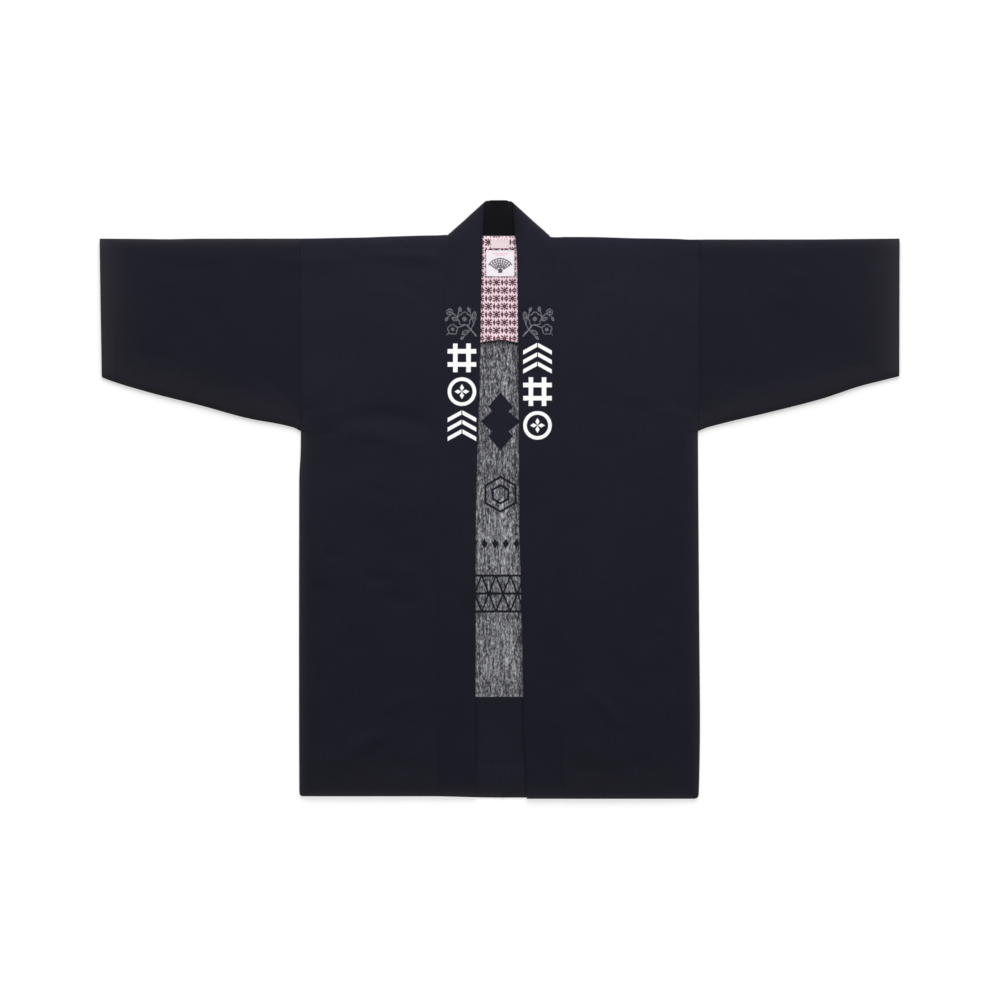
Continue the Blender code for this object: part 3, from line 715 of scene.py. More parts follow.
def bodyCloth(side):
    # half of the back and one front in a single cloth, folded over the shoulder and closed down the side
    sign, cloth, armpitY = coat["sign"][side], coat["cloth"], coat["armpitY"]
    hemY, neckOut, steps = coat["frontHemY"][side], coat["neckOut"][side], coat["edgeSteps"]
    across = spaced(coat["armholeOut"] - neckOut, body["cell"], steps, steps)
    upper = spaced(body["armholeLong"], body["cell"], (0.0,), steps)
    lower = spaced(armpitY - hemY, body["cell"], body["armpitSteps"], steps)
    topOut = mix(neckOut, coat["armholeOut"] - coat["seamGap"], across)
    shoulderY = edgeAt("shoulder", side, topOut)
    intoBand = np.where(across == 0.0, coat["intoBand"], 0.0)

    def rowsOf(topY, footY):
        # from the shoulder to the armpit's level and on to the hem
        high = [mix(topY, armpitY, share) for share in upper]
        return np.array(high + [mix(armpitY, footY, share) for share in lower[1:]])

    # the front
    y = rowsOf(shoulderY - coat["shoulderRound"], hemY + 0.0 * topOut)
    out = frontOut(side, y, across)
    top = frontTop(side, sign * out, y)
    hemThick = doubledHem("hem", y - hemY) * body["hemThick"]
    hemThick = hemThick * ease(0.0, body["frontPlainAtSide"], sideOut(side, y) - out)
    x = sign * (out - intoBand)
    toEdge = np.minimum(y - hemY, toArmhole(side, out, y))
    front = softenEdge(points(x, y, top), points(x, y, top - cloth - hemThick), toEdge)

    # the turn over the shoulder; its upper half follows the collar's seam
    turnY = shoulderY - coat["shoulderRound"]
    atTop = topHeight(side, sign * frontOut(side, turnY, across), turnY)
    turned = []
    for rows in foldOver(shoulderY, 1.0, coat["shoulderRound"], atTop):
        grid = []
        for step, (rowY, rowZ) in enumerate(rows):
            over = ease(0.0, 3.0, step - coat["roundSteps"][0])
            outs = mix(topOut, frontOut(side, rowY, across), over) - intoBand
            grid.append(points(sign * outs, rowY, rowZ))
        turned.append(np.array(grid)[::-1])
    shoulder = softenEdge(*turned, coat["armholeOut"] - topOut + 0.0 * turned[0][..., 0])

    # the back, with the columns that pass under the neck first
    y = rowsOf(shoulderY - coat["underRound"], backHem(side, topOut))
    out = mix(neckOut, sideOut(side, y) - sideInset(y), across) - intoBand
    seamX, neckY = coat["backSeamX"], coat["neckY"] - 2.0 * coat["seamGap"]
    startX = -body["allowanceOut"] if side == "right" else seamX + coat["seamGap"]
    overSeam = body["overSeamSteps"] if side == "right" else steps
    neckAcross = spaced(neckOut - startX, body["neckCell"], overSeam)[:-1]
    neckOuts = mix(startX, neckOut - coat["intoBand"], neckAcross)
    underNeck = rowsOf(neckY + 0.0 * neckOuts, backHem(side, neckOuts))
    x = sign * np.concatenate([neckOuts + 0.0 * underNeck, out], axis=1)
    y = np.concatenate([underNeck, y], axis=1)
    out, hem, foldY = np.abs(x), backHem(side, np.abs(x)), body["hemFoldY"]
    inside = cloth + body["hemFold"] * ease(foldY + body["hemFoldEdge"], foldY - body["hemFoldEdge"], y)
    inside = inside - body["hemDip"] * bump(y, foldY + body["hemSewnIn"], body["hemDipWidth"])
    waves = body["backWave"] * (body["backWaveLeast"] + ripple(x, y, body["backWaveCell"], 21))
    inside = inside + waves * ease(0.0, body["backWaveFromHem"], y - hem)
    belowNeck = coat["neckY"] - y + body["lessUnderNeck"] * (out < neckOut)
    plain = ease(0.0, body["backPlainAtNeck"], belowNeck)
    plain = plain * ease(0.0, body["backPlainAtSide"], sideOut(side, y) - out)
    inside, under = mix(cloth, inside, plain), 0.0 * y
    if side == "right":
        onLeft = ease(*(seamX - step for step in body["stepOver"]), x)
        allowance = mix(body["allowanceThick"], body["allowanceUnderLining"], ease(*body["liningFrom"], y))
        allowance = allowance * (1.0 - body["allowanceThins"] * ease(seamX, body["allowanceOut"], x))
        under = onLeft * (inside + body["overLeft"])
        inside = mix(inside, under + allowance, onLeft)
    toEdge = np.minimum(np.minimum(y - hem, np.abs(x * sign - startX)), toArmhole(side, out, y))
    toEdge = np.minimum(toEdge, np.where(out < neckOut, neckY - y, 1.0))
    back = softenEdge(points(x, y, under), points(x, y, inside), toEdge)

    # the shoulder's turn has the same points where it meets the front and the back
    for layer in (0, 1):
        shoulder[layer][0], shoulder[layer][-1] = front[layer][0], back[layer][0, len(neckOuts):]

    # the side seam's round, from the front's edge to the back's
    sideEdge = []
    for layer in (0, 1):
        above, below = (panel[layer][len(upper) - 1:, -1] for panel in (front, back))
        middle, half = (above + below) / 2.0, (above - below) / 2.0
        ring = []
        for step in range(body["sideSteps"] + 1):
            angle = pi * (0.5 - step / body["sideSteps"])
            edge = middle + half * sin(angle)
            edge[:, 0] += sign * np.abs(half[:, 2]) * cos(angle)
            ring.append(edge)
        sideEdge.append(np.array(ring).transpose(1, 0, 2))

    patches = [(*front, 0, 0), (*shoulder, 0, 0), (*back, 0, 1), (*sideEdge, 0, 0)]
    piece = attach(sewTogether(f"body_cloth_{side}", patches, bodyFinishes), f"body_{side}")
    shoulderLine = onSide(side, edges["shoulder"][side])
    sideLine = onSide(side, [(out, y) for y, out in edges["side"][side]])
    hemLine = onSide(side, [(0.0, hemY), (sideOut(side, hemY), hemY)])
    # wear and painted highlight along the shoulder, the side and the hem
    wearAndEdgeLightAlong(piece, (shoulderLine, wearAndEdgeLight["shoulder"][side]), (sideLine, wearAndEdgeLight["side"]),
              (hemLine, wearAndEdgeLight["hem"]), (hemLine, wearAndEdgeLight["overHem"]))
    # one length from the front hem over the shoulder to the back hem, cut away at the neck and the front edge
    return piece


sleeve = {
    "cell": 0.0050,
    "underCell": 0.012,
    "allowance": 0.0070,          # the part of the cloth that goes inside the armhole
    "armholeSteps": (0.0, 0.0030, 0.0068, 0.0071, 0.0074, 0.0077, 0.0080, 0.0092, 0.0112),
    "cuffThick": 0.0005,
    "within": 1.08,               # how deep it lies in the armhole, in layers of cloth
    "stepsIn": (-0.0002, 0.0009), "edgeReach": 0.0008,
}


def sleeveCloth(side):
    # a flattened tube, open at the armhole and the cuff, folded along its top and rounded at its lower seam
    sign, cloth = coat["sign"][side], coat["cloth"]
    topCuff, lowCuff = coat["cuffOut"][side]
    start = coat["armholeOut"] - sleeve["allowance"]
    length = (topCuff + lowCuff) / 2.0 - start
    outs = start + length * spaced(length, sleeve["cell"], sleeve["armholeSteps"], coat["edgeSteps"])
    topY, lowY = (edgeAt(edge, side, outs) for edge in ("shoulder", "underarm"))
    widest = float((topY - lowY).max())

    def tops(y):
        return topHeight(side, sign * outs, y)

    low, high = (foldOver(edgeY, facing, coat[over], tops(edgeY - facing * coat[over]))
                 for edgeY, facing, over in ((lowY, -1.0, "underarmRound"), (topY, 1.0, "shoulderRound")))
    layers = []
    for layer in (0, 1):
        ring = list(low[layer])
        first, last = ring[-1][0], high[layer][-1][0]
        for share in spaced(widest, sleeve["cell"])[1:-1]:
            y = mix(first, last, share)
            ring.append((y, tops(y) - layer * cloth))
        ring += reversed(high[layer])
        first, last = ring[-1][0], ring[0][0]
        for share in spaced(widest, sleeve["underCell"])[1:-1]:
            ring.append((mix(first, last, share), layer * cloth + 0.0 * outs))
        grid = []
        for y, z in ring + ring[:1]:
            cuff = mix(lowCuff, topCuff, (y - lowY) / (topY - lowY))
            grid.append(points(sign * (start + (cuff - start) * (outs - start) / length), y, z))
        layers.append(np.array(grid))
    outer, inner = layers
    # the cuff's turned-in hem doubles the cloth on the inside
    inward = (outer - inner) / cloth * sleeve["cuffThick"]
    fromCuff = length - (outs - start)
    inner = inner - inward * doubledHem("cuff", fromCuff)[None, :, None]
    outer, inner = softenEdge(outer, inner, fromCuff + 0.0 * outer[..., 0], reach=sleeve["edgeReach"])
    # up to the armhole seam the cloth lies one layer further in, inside the body's cloth
    within = (1.0 - ease(*sleeve["stepsIn"], outs - coat["armholeOut"])) * sleeve["within"]
    shift = (inner - outer) * within[None, :, None]
    piece = sewTogether(f"sleeve_cloth_{side}", [(outer + shift, inner + shift, 0, 0)], [navySleeveShaded])
    attach(piece, f"sleeve_{side}")
    shoulderLine, underLine = (onSide(side, edges[edge][side]) for edge in ("shoulder", "underarm"))
    cuffLine = onSide(side, [(topCuff, shoulderLine[-1][1]), (lowCuff, edgeAt("underarm", side, lowCuff))])
    # wear and painted highlight along the sleeve's top, its lower seam and its cuff
    wearAndEdgeLightAlong(piece, (shoulderLine, wearAndEdgeLight["sleeveTop"][side]), (underLine, wearAndEdgeLight["sleeveSeam"]),
              (underLine, wearAndEdgeLight["overSleeveSeam"]), (cuffLine, wearAndEdgeLight["cuff"]))
    # the tube opened flat: twice its depth at the armhole, and the sleeve's length; it narrows to the cuff
    return piece


collar = {
    "width": 0.0566,
    "thick": 0.0028,
    "foldRadius": 0.0016,
    "topY": 0.4483,
    # the fold at each side of the neck: its sewn end, its free end above, and its free end below
    "fold": metres({
        "right": [(75.2, 394.4), (23, 441.2), (15.2, 447.8)],
        "left": [(73.2, 392.8), (20.3, 440.2), (13, 447.2)],
    }),
    "corner": 0.14,       # share of the back band's length over which each top corner rises
    "lean": 8.0,
    # (y, height) along the middle of its thickness
    "middle": metres([(-448, 3), (-380, 3.4), (50, 3.6), (220, 4.3), (394.5, 4.6)]),
    "row": 0.0050, "turnRows": 22, "backRows": 34,
    "edgeSteps": (0.0, 0.00012, 0.0004, 0.0008, 0.0014, 0.0024, 0.0040),
    "endSteps": (0.0, 0.0001, 0.0003, 0.0006, 0.0010, 0.0018, 0.0030),
    "cell": 0.0045,
    "seamDip": 0.00030, "seamDipWidth": 0.0011, "sewnIn": 0.0042,
    "thinEdge": 0.04, "thinEnd": 0.25,        # how much of its thickness is left at its edges and its ends
    "endRound": 0.6, "foldKeeps": 0.8, "edgePlain": 0.004, "foldWearAndLightAt": 0.002, "hemOut": 0.1,
    # slight waves: their height, how much shorter they are along X, their cell and their seed
    "waves": ((0.00016, 2.2, 0.045, 31), (0.00007, 1.0, 0.012, 32)),
    "creases": metres([   # across the band, where the neck bends it, in the same columns as the coat's
        (-80, 372, -40, 398, 3, 5, 0.35), (-74, 350, -34, 366, 3, 5.5, -0.3),
        (-66, 404, -36, 420, 2, 4.5, -0.25), (80, 370, 40, 400, -3, 5, 0.35),
        (76, 346, 36, 360, -3, 5.5, -0.3), (62, 406, 34, 420, -2, 4.5, -0.25), (-88, 60, -50, 40, 2, 8, -0.2),
        (86, -120, 50, -150, 2, 9, -0.2),
    ]),
}

bandPrint = {
    "white": rgb(246, 246, 246), "thinWhite": rgb(140, 140, 147), "neckShadeNavy": rgb(15, 14, 18),
    "columnX": {"right": -0.0562, "left": 0.0568},
    # Y of the crib, wheel and feathers
    "places": {"right": (0.2120, 0.1615, 0.1110), "left": (0.1615, 0.1110, 0.2120)},
    "half": 0.0214, "stroke": 0.0068, "soft": 0.0005, "rough": 0.0008,
    "flowerY": 0.2640, "flowerScale": 1.12, "flowerLine": 0.00078, "handDrawn": 0.0020, "softer": 0.0010,
    # the sprig, in millimetres from its middle: stems from x, y to x, y and their width, blossoms with their
    # petals' size, and leaves with their length, and their angle in degrees
    "stems": metres([
        ((-19, -17), (-6, -2), 1.4), ((-6, -2), (17, 17), 0.9), ((-6, -2), (12, -8), 0.9),
        ((-12, -9), (-18.5, 6), 0.8), ((6, 8.5), (3.5, 17), 0.7), ((12.5, 13), (20, 7), 0.6),
        ((-12, -9), (-2, -19), 0.6), ((-16, -2), (-10.5, 16), 0.6), ((12, -8), (20.5, -16), 0.6),
    ]),
    "blossoms": metres([((-3.5, 5.5), 4.3), ((12.5, -8.5), 3.2), ((16.5, 15), 1.9)]),
    "leaves": (
        (-16.5, 10.5, 4.8, 100), (9.5, 5.5, 4.2, 20), (-4.5, -12.5, 5, -30), (2.5, 18.5, 3, 80),
        (20.5, 5.5, 2.6, -60), (-0.5, -20, 2.6, -40), (-9.5, 18, 2.8, 70),
    ),
    "inked": (1.1, 0.25),                     # how uneven the thin lines are, and how strong at least
    # painted shade inside the neck, where the navy darkens beside the bands' free edges: its middle, reach
    # and foot, how sharply it starts, and its strength
    "neckShade": (0.002, 0.036, 0.372), "neckShadeStarts": (55.0, 32.0), "neckShadeStrength": 0.75,
}


def printedBand(values):
    # the band's outer face on the fronts: a column of plain old motifs dyed white, under thin-line flowers
    finish, navy = navyBase("navyCottonBandPrinted", navyCloth)
    left = finish.x.above(0.0)
    u = finish.x - mix(values["columnX"]["right"], values["columnX"]["left"], left)
    y, half, stroke = finish.y, values["half"], values["stroke"]
    crib, wheel, feathers = (y - mix(right, other, left) for right, other in zip(*values["places"].values()))
    # The motifs' plain numbers are shares of half a motif. First a well crib: two bars across two bars.
    motifs = box(abs(u) - half * 0.46, crib, stroke / 2.0, half)
    motifs = motifs.least(box(u, abs(crib) - half * 0.46, half, stroke / 2.0))
    # a ring round a four-petalled diamond
    motifs = motifs.least(line(disc(u, wheel, half - stroke * 0.4), stroke * 0.8))
    motifs = motifs.least(diamond(abs(u) - half * 0.27, wheel, half * 0.25, half * 0.15))
    motifs = motifs.least(diamond(u, abs(wheel) - half * 0.27, half * 0.15, half * 0.25))
    # arrow feathers: chevrons on both sides of a thin gap
    lean = feathers + abs(u) * 0.55 - half * 0.26
    chevrons = (abs((lean + half * 0.33).repeat(half * 0.66)) - stroke * 0.46).most(abs(lean) - half * 0.95)
    motifs = motifs.least(chevrons.most(abs(u) - half).most(0.0007 - abs(u)))
    motifs = motifs + finish.rough(700.0, values["rough"])
    # a blossom sprig in thin, slightly wandering line, turned the other way on the left front
    fine, wander, scale = values["flowerLine"], values["handDrawn"], 1.0 / values["flowerScale"]
    u = ((left * 2.0 - 1.0) * u + finish.rough(110.0, wander)) * scale
    v = (y - values["flowerY"] + finish.rough((95.0, 125.0, 70.0), wander)) * scale
    sprig = leastOf([segment(u, v, start, end) - width / 2.0 for start, end, width in values["stems"]])
    for (x0, y0), petal in values["blossoms"]:
        tips = [(petal * cos(radians(turn)), petal * sin(radians(turn))) for turn in range(90, 450, 72)]
        lobes = leastOf([disc(u - x0 - 1.15 * x1, v - y0 - 1.15 * y1, petal) for x1, y1 in tips])
        ribs = [segment(u, v, (x0, y0), (x0 + x1, y0 + y1)) - fine * 0.3 for x1, y1 in tips]
        sprig = leastOf([sprig, *ribs]).most(-lobes)
        sprig = sprig.least(line(lobes, fine)).least(line(disc(u - x0, v - y0, petal * 0.55), fine))
    for *leaf, angle in values["leaves"]:
        (x0, y0, long), angle = metres(leaf), radians(angle)
        along = (u - x0) * cos(angle) + (v - y0) * sin(angle)
        aside = (v - y0) * cos(angle) - (u - x0) * sin(angle)
        sprig = sprig.least(line(disc(along, abs(aside) + long * 0.75, long * 1.25), fine))
        sprig = sprig.least(box(along, aside, long * 0.8, fine * 0.35))
    # painted shade: the navy darkens inside the neck, beside the bands' free edges
    (middle, reach, foot), (sideways, upwards) = values["neckShade"], values["neckShadeStarts"]
    neckShade = ((reach - abs(finish.x - middle)) * sideways).share() * ((y - foot) * upwards).share()
    navy = finish.blend(neckShade * values["neckShadeStrength"], navy, values["neckShadeNavy"])
    uneven, strong = values["inked"]
    inked = (finish.noise(420.0) * uneven + strong).least(1.0)
    ground = finish.blend(sprig.inside(values["softer"]) * inked, navy, values["thinWhite"])
    return finish.colour(finish.blend(motifs.inside(values["soft"]), ground, values["white"]))


def collarFront(side):
    # rows of the band over one front, from its hem up: sewn end, free end and the way its face looks
    sign, hemY = coat["sign"][side], coat["frontHemY"][side]
    (_, sewnY), (_, freeY), _ = collar["fold"][side]
    rows = []
    for share in spaced(sewnY - hemY, collar["row"], collar["endSteps"])[:-1]:
        y = mix(hemY, sewnY, share)
        yFree = y + (freeY - sewnY) * share ** collar["lean"]
        sewn, free = edgeAt("sewn", side, y) - coat["seamGap"], edgeAt("free", side, yFree)
        height = table(collar["middle"], y)
        rows.append(((sign * sewn, y, height), (sign * free, yFree, height), (0.0, 0.0, 1.0)))
    return rows


def collarTurn(side):
    # rows round the fold at one side of the neck, from the upper layer to the lower one
    sign, radius = coat["sign"][side], collar["foldRadius"]
    sewnEnd, freeEnd, freeBelow = np.array(onSide(side, collar["fold"][side]))
    run = freeEnd - sewnEnd
    outward = sign * np.array((run[1], -run[0])) / np.hypot(*run)
    rows = []
    for share in np.linspace(0.0, 1.0, collar["turnRows"] + 1):
        angle = pi * (1.0 - share)
        height = collar["thick"] / 2.0 + radius * (1.0 - cos(angle))
        ends = (sewnEnd, mix(freeEnd, freeBelow, share))
        sewn, free = ((*(end + outward * radius * sin(angle)), height) for end in ends)
        rows.append((sewn, free, (*(outward * sin(angle)), -cos(angle))))
    return rows


def collarBand():
    half, width = collar["thick"] / 2.0, collar["width"]
    right, left = collarTurn("right"), collarTurn("left")
    back, sewnY = [], coat["neckY"] + 2.0 * coat["seamGap"]
    for share in np.arange(1, collar["backRows"]) / collar["backRows"]:
        sewnX, freeX = (mix(right[-1][end][0], left[-1][end][0], share) for end in (0, 1))
        foldY = collar["fold"]["right" if share < 0.5 else "left"][2][1]
        corner = min(share / collar["corner"], (1.0 - share) / collar["corner"], 1.0)
        freeY = mix(foldY, collar["topY"], sin(pi / 2.0 * corner))
        back.append(((sewnX, sewnY, half), (freeX, freeY, half), (0.0, 0.0, -1.0)))
    rows = collarFront("right") + right + back + left[::-1] + collarFront("left")[::-1]
    sewn, free, facing = (np.array(column, float)[:, None, :] for column in zip(*rows))
    across = spaced(width, collar["cell"], collar["edgeSteps"], collar["edgeSteps"])
    fromEdge = np.minimum(across, 1.0 - across) * width
    hemY = np.where(sewn[:, 0, 0] < 0.0, coat["frontHemY"]["right"], coat["frontHemY"]["left"])
    endSwell = mix(collar["thinEnd"], 1.0, roundOver((sewn[:, 0, 1] - hemY) / (half * collar["endRound"])))
    swell = np.maximum(roundOver(fromEdge / half), collar["thinEdge"])[None, :, None]
    swell = swell * endSwell[:, None, None]
    middle = mix(sewn, free, across[None, :, None])
    # round the folds the band keeps its full width on the outside
    sideways = np.hypot(facing[..., 0], facing[..., 1])
    middle = middle + facing * half * (1.0 - swell) * (sideways * collar["foldKeeps"])[..., None]
    x, y = middle[..., 0], middle[..., 1]
    lift = creaseLift(x, y, collar["creases"])
    lift = lift - collar["seamDip"] * bump(across * width, collar["sewnIn"], collar["seamDipWidth"])
    for high, shorter, cell, seed in collar["waves"]:
        lift = lift + high * ripple(x * shorter, y, cell, seed)
    lift = lift * ease(0.0, collar["edgePlain"], fromEdge)
    lift = np.where(facing[..., 2] < 0.0, -np.abs(lift), lift)
    outer = middle + facing * (half * swell + lift[..., None])
    inner = middle - facing * half * swell
    piece = sewTogether("collar_band", [(outer, inner, 0, 1)], [bandFront, bandInsideShaded])
    attach(piece, "collar")
    # wear and painted highlight along the folds at the neck and the band's hems
    lines = []
    for side in ("right", "left"):
        fold = [(out + collar["foldWearAndLightAt"], y + collar["foldWearAndLightAt"]) for out, y in collar["fold"][side][:2]]
        hem = [(0.0, coat["frontHemY"][side]), (collar["hemOut"], coat["frontHemY"][side])]
        lines += [(onSide(side, fold), wearAndEdgeLight["neckFold"]), (onSide(side, hem), wearAndEdgeLight["bandHem"])]
    wearAndEdgeLightAlong(piece, *lines)
    # the finished band, all its length; its whole cut is twice as wide and has turnings
    return piece


lining = {
    "halfWidth": 0.0750, "footY": 0.2338, "cell": 0.0030, "edgeReach": 0.0006,
    # the foot rises and stands off in the middle
    "bow": 0.0038, "bowX": 0.001, "bowHalf": 0.0275, "billow": 0.0011,
    "footWander": 0.0005, "footWanderCell": 0.012,
    "waves": ((0.00010, 0.010, 42), (0.00012, 0.026, 43)),  # height, cell and seed
    "base": 0.00125, "top": 0.00235, "footTop": 0.00300, "footBase": 0.00190, "footReach": 0.012,
    "edgeSteps": (0.0, 0.0003, 0.0007, 0.0014, 0.0024), "topSteps": (0.0, 0.0006),
    "pink": rgb(231, 208, 216), "paleThread": rgb(221, 189, 199), "burgundy": rgb(84, 54, 64),
    "thread": rgb(44, 30, 38), "overcastWithShade": 0.0012, "overcastWithShadeUneven": 0.0012,
    "repeat": 0.0120, "middle": (0.0015, 0.2950), "bleed": 0.0013,
    # the snow mark's reach, its bars and its seeds, then the little diamond and the ring with its bar
    "snowReach": 0.0062, "snowArm": 0.0010, "snowBar": (0.0008, 0.0054), "seedAt": (0.0038, 0.0036),
    "seed": (0.0021, 0.0019), "diamondAt": 0.0034, "diamond": (0.0023, 0.0053),
    "ringAt": 0.0027, "ring": 0.0024, "ringWidth": 0.0019, "ringBar": (0.0008, 0.0053),
}


def liningFinish(values):
    # a small chequered repeat: a snow mark, then a little diamond beside a little ring
    finish = Finish("pinkCottonPrint", roughness=0.85, sheen=0.05)
    x, y = finish.x - values["middle"][0], finish.y - values["middle"][1]
    u, v = x.repeat(values["repeat"]), y.repeat(values["repeat"])
    arms = abs(abs(u) - abs(v)) * cos(pi / 4.0) - values["snowArm"]
    mark = arms.most(disc(u, v, values["snowReach"])).least(box(u, v, *values["snowBar"]))
    mark = mark.least(box(v, u, *values["snowBar"]))
    mark = mark.least(diamond(abs(u) - values["seedAt"][0], abs(v) - values["seedAt"][1], *values["seed"]))
    little = diamond(u + values["diamondAt"], v, *values["diamond"])
    u = u - values["ringAt"]
    ring = line(disc(u, v, values["ring"]), values["ringWidth"])
    little = little.least(ring).least(box(u, v, *values["ringBar"]))
    even = chequer(x, y, values["repeat"])
    figure = mark * even + little * (1.0 - even) + finish.rough(700.0, values["bleed"])
    ground = finish.blend(finish.noise((800.0, 60.0, 60.0)), values["paleThread"], values["pink"])
    printed = finish.blend(figure.inside(0.0005), ground, values["burgundy"])
    # the foot is overcast with dark thread, and the dark band is partly painted shadow under the lifted foot
    foot = finish.stored("fromFoot") - values["overcastWithShade"] + finish.rough(500.0, values["overcastWithShadeUneven"])
    finish.raised(finish.weave(0.0006), 0.00006)
    return finish.colour(finish.blend(foot.inside(0.0004), printed, values["thread"]))


def flatCloth(name, xs, ys, base, top, material, reach):
    # a flat piece laid on another: base and top are its lower and upper face at each point
    toEdge = np.minimum.reduce([xs - xs.min(), xs.max() - xs, ys - ys.min(axis=0), ys.max(axis=0) - ys])
    layers = softenEdge(points(xs, ys, top), points(xs, ys, base), toEdge, reach)
    return sewTogether(name, [(*layers, 0, 0)], [material])


def liningFoot(xs):
    # the lining's lower edge, which rises in the middle
    arch = np.clip(1.0 - ((xs - lining["bowX"]) / lining["bowHalf"]) ** 2, 0.0, 1.0)
    return lining["footY"] + lining["bow"] * arch, arch


def yokeLining():
    half, top = lining["halfWidth"], coat["neckY"] - 2.0 * coat["seamGap"]
    across = spaced(2.0 * half, lining["cell"], lining["edgeSteps"], lining["edgeSteps"])
    xs = mix(-half, half, across)[None, :]
    rows = spaced(top - lining["footY"], lining["cell"], lining["edgeSteps"], lining["topSteps"])[:, None]
    edge, arch = liningFoot(xs)
    edge = edge + lining["footWander"] * ripple(xs, 0.0 * xs, lining["footWanderCell"], 41)
    ys = mix(edge, top, rows)
    xs = xs + 0.0 * ys
    nearFoot = 1.0 - ease(0.0, lining["footReach"], ys - edge)
    billow = lining["billow"] * arch * nearFoot
    wave = sum(high * ripple(xs, ys, cell, seed) for high, cell, seed in lining["waves"])
    upper = mix(lining["top"], lining["footTop"], nearFoot) + wave + billow
    lower = mix(lining["base"], lining["footBase"], nearFoot) + billow
    piece = flatCloth("lining_cloth", xs, ys, lower, upper, liningFinish(lining), lining["edgeReach"])
    keepAtPoints(piece, "fromFoot", lambda x, y: y - np.interp(x, xs[0], edge[0]))
    attach(piece, "yoke_lining")
    return piece


labels = {
    "large": {"middle": (0.0011, 0.3533), "size": (0.0425, 0.0390),
              "slot": "label_white", "cloth": rgb(227, 220, 227)},
    "small": {"middle": (0.0008, 0.3825), "size": (0.0285, 0.0135),
              "slot": "label_pink", "cloth": rgb(216, 199, 203)},
    "base": 0.00260, "thick": 0.00045, "cell": 0.0025, "edgeSteps": (0.0, 0.0002, 0.0005, 0.0010),
    "curl": 0.00022, "curlPower": 6, "wave": 0.00010, "waveCell": 0.009, "edgeReach": 0.0003,
    "grey": rgb(72, 69, 76), "rose": rgb(222, 166, 180),
    # the large label's fan, measured from its pivot, which is below the label's middle
    "pivotDown": 0.0125, "fanReach": 0.0200, "fanStart": 0.0060, "rayTurn": 0.23, "rayHalf": 0.00080,
    "rim": 0.0016, "ribs": (0.0165, 0.0130, 0.0095), "rib": 0.0011, "fanSpread": 1.75,
    "knotUp": 0.0026, "knot": (0.0046, 0.0034), "knotBar": (0.0030, 0.0016), "bleed": 0.0010,
    # its two bars: how far above the middle, and half their sizes
    "bars": ((0.0150, 0.0115, 0.0006), (0.0125, 0.0070, 0.0004)),
}


def labelFinish(name):
    which, cloth = labels[name], labels[name]["cloth"]
    finish = Finish("labelCloth" + name.capitalize(), roughness=0.6, sheen=0.05, specular=0.3)
    finish.raised(finish.weave(0.0004), 0.00003)
    base = finish.blend(finish.noise((2200.0, 300.0, 300.0)), cloth, (*(0.93 * c for c in cloth[:3]), 1.0))
    if name == "small":
        return finish.colour(base)
    # a plain fan of rays over a knot, with two rose bars above; it spells nothing
    x0, y0 = which["middle"]
    u, v = finish.x - x0, finish.y - (y0 - labels["pivotDown"])
    reach = disc(u, v, 0.0)
    rays = u.make("ARCTAN2", v).wrap(labels["rayTurn"]) * reach - labels["rayHalf"]
    rays = rays.most(reach - labels["fanReach"]).most(labels["fanStart"] - reach).most(-v)
    rims = [line(reach - labels["fanReach"], labels["rim"])]
    rims += [line(reach - ring, labels["rib"]) for ring in labels["ribs"]]
    knot = diamond(u, v - labels["knotUp"], *labels["knot"]).least(box(u, v, *labels["knotBar"]))
    fan = leastOf([rays, *rims]).most(abs(u) - v * labels["fanSpread"]).least(knot)
    drawn = finish.blend((fan + finish.rough(900.0, labels["bleed"])).inside(0.0006), base, labels["grey"])
    bars = leastOf([box(u, finish.y - (y0 + up), *size) for up, *size in labels["bars"]])
    return finish.colour(finish.blend(bars.inside(0.0004), drawn, labels["rose"]))


def label(name):
    which, steps = labels[name], labels["edgeSteps"]
    (x0, y0), (width, height) = which["middle"], which["size"]
    xs = x0 + width * (spaced(width, labels["cell"], steps, steps)[None, :] - 0.5)
    ys = y0 + height * (spaced(height, labels["cell"], steps, steps)[:, None] - 0.5)
    xs, ys = np.broadcast_arrays(xs, ys)
    curl = labels["curl"] * ((xs - x0) / width * 2.0) ** labels["curlPower"]
    curl = curl + labels["wave"] * ripple(xs, ys, labels["waveCell"], 51)
    base = labels["base"] + curl
    top, material = base + labels["thick"], labelFinish(name)
    piece = flatCloth(f"label_cloth_{name}", xs, ys, base, top, material, labels["edgeReach"])
    attach(piece, f"label_{name}")
    return piece


stitches = {
    "wide": 0.00030, "high": 0.00024,
    # along a stitch: share of its length, share of its width, share of its height over the cloth
    "form": ((-0.50, 0.20, -0.80), (-0.34, 0.85, 0.10), (0.0, 1.0, 0.45), (0.34, 0.85, 0.10),
             (0.50, 0.20, -0.80)),
    "around": 6,
    "uneven": (0.06, 0.07),       # in place, as a share of the pitch, and in turn
    # a stitch's length, and the distance from the middle of one to the next
    "plain": (0.0021, 0.0036), "short": (0.0015, 0.0026),
    "above": 0.02, "underBand": 0.0023,       # heights from which rows are laid on the cloth
    "labelIn": 0.0012, "footIn": 0.0014, "footSlant": 0.9, "footOut": 0.070,
    # how far the rows stop from the band's seam, the side seam and the ends of a cuff
    "fromBand": 0.003, "fromSide": 0.010, "fromCuffEnds": 0.008,
    # up to where the band's rows run on the fronts and across the neck, and the back hem's on each half
    "bandTopY": 0.3800, "neckX": (-0.0215, 0.0190),
    "backHem": {"right": (-0.006, 0.095), "left": (0.009, 0.095)},
    "navy": (rgb(14, 14, 20), rgb(30, 30, 42)),
    "maroon": (rgb(34, 22, 28), rgb(62, 42, 50)),
    "white": (rgb(196, 190, 196), rgb(240, 236, 240)),
    "pink": (rgb(206, 178, 186), rgb(236, 214, 220)),
}


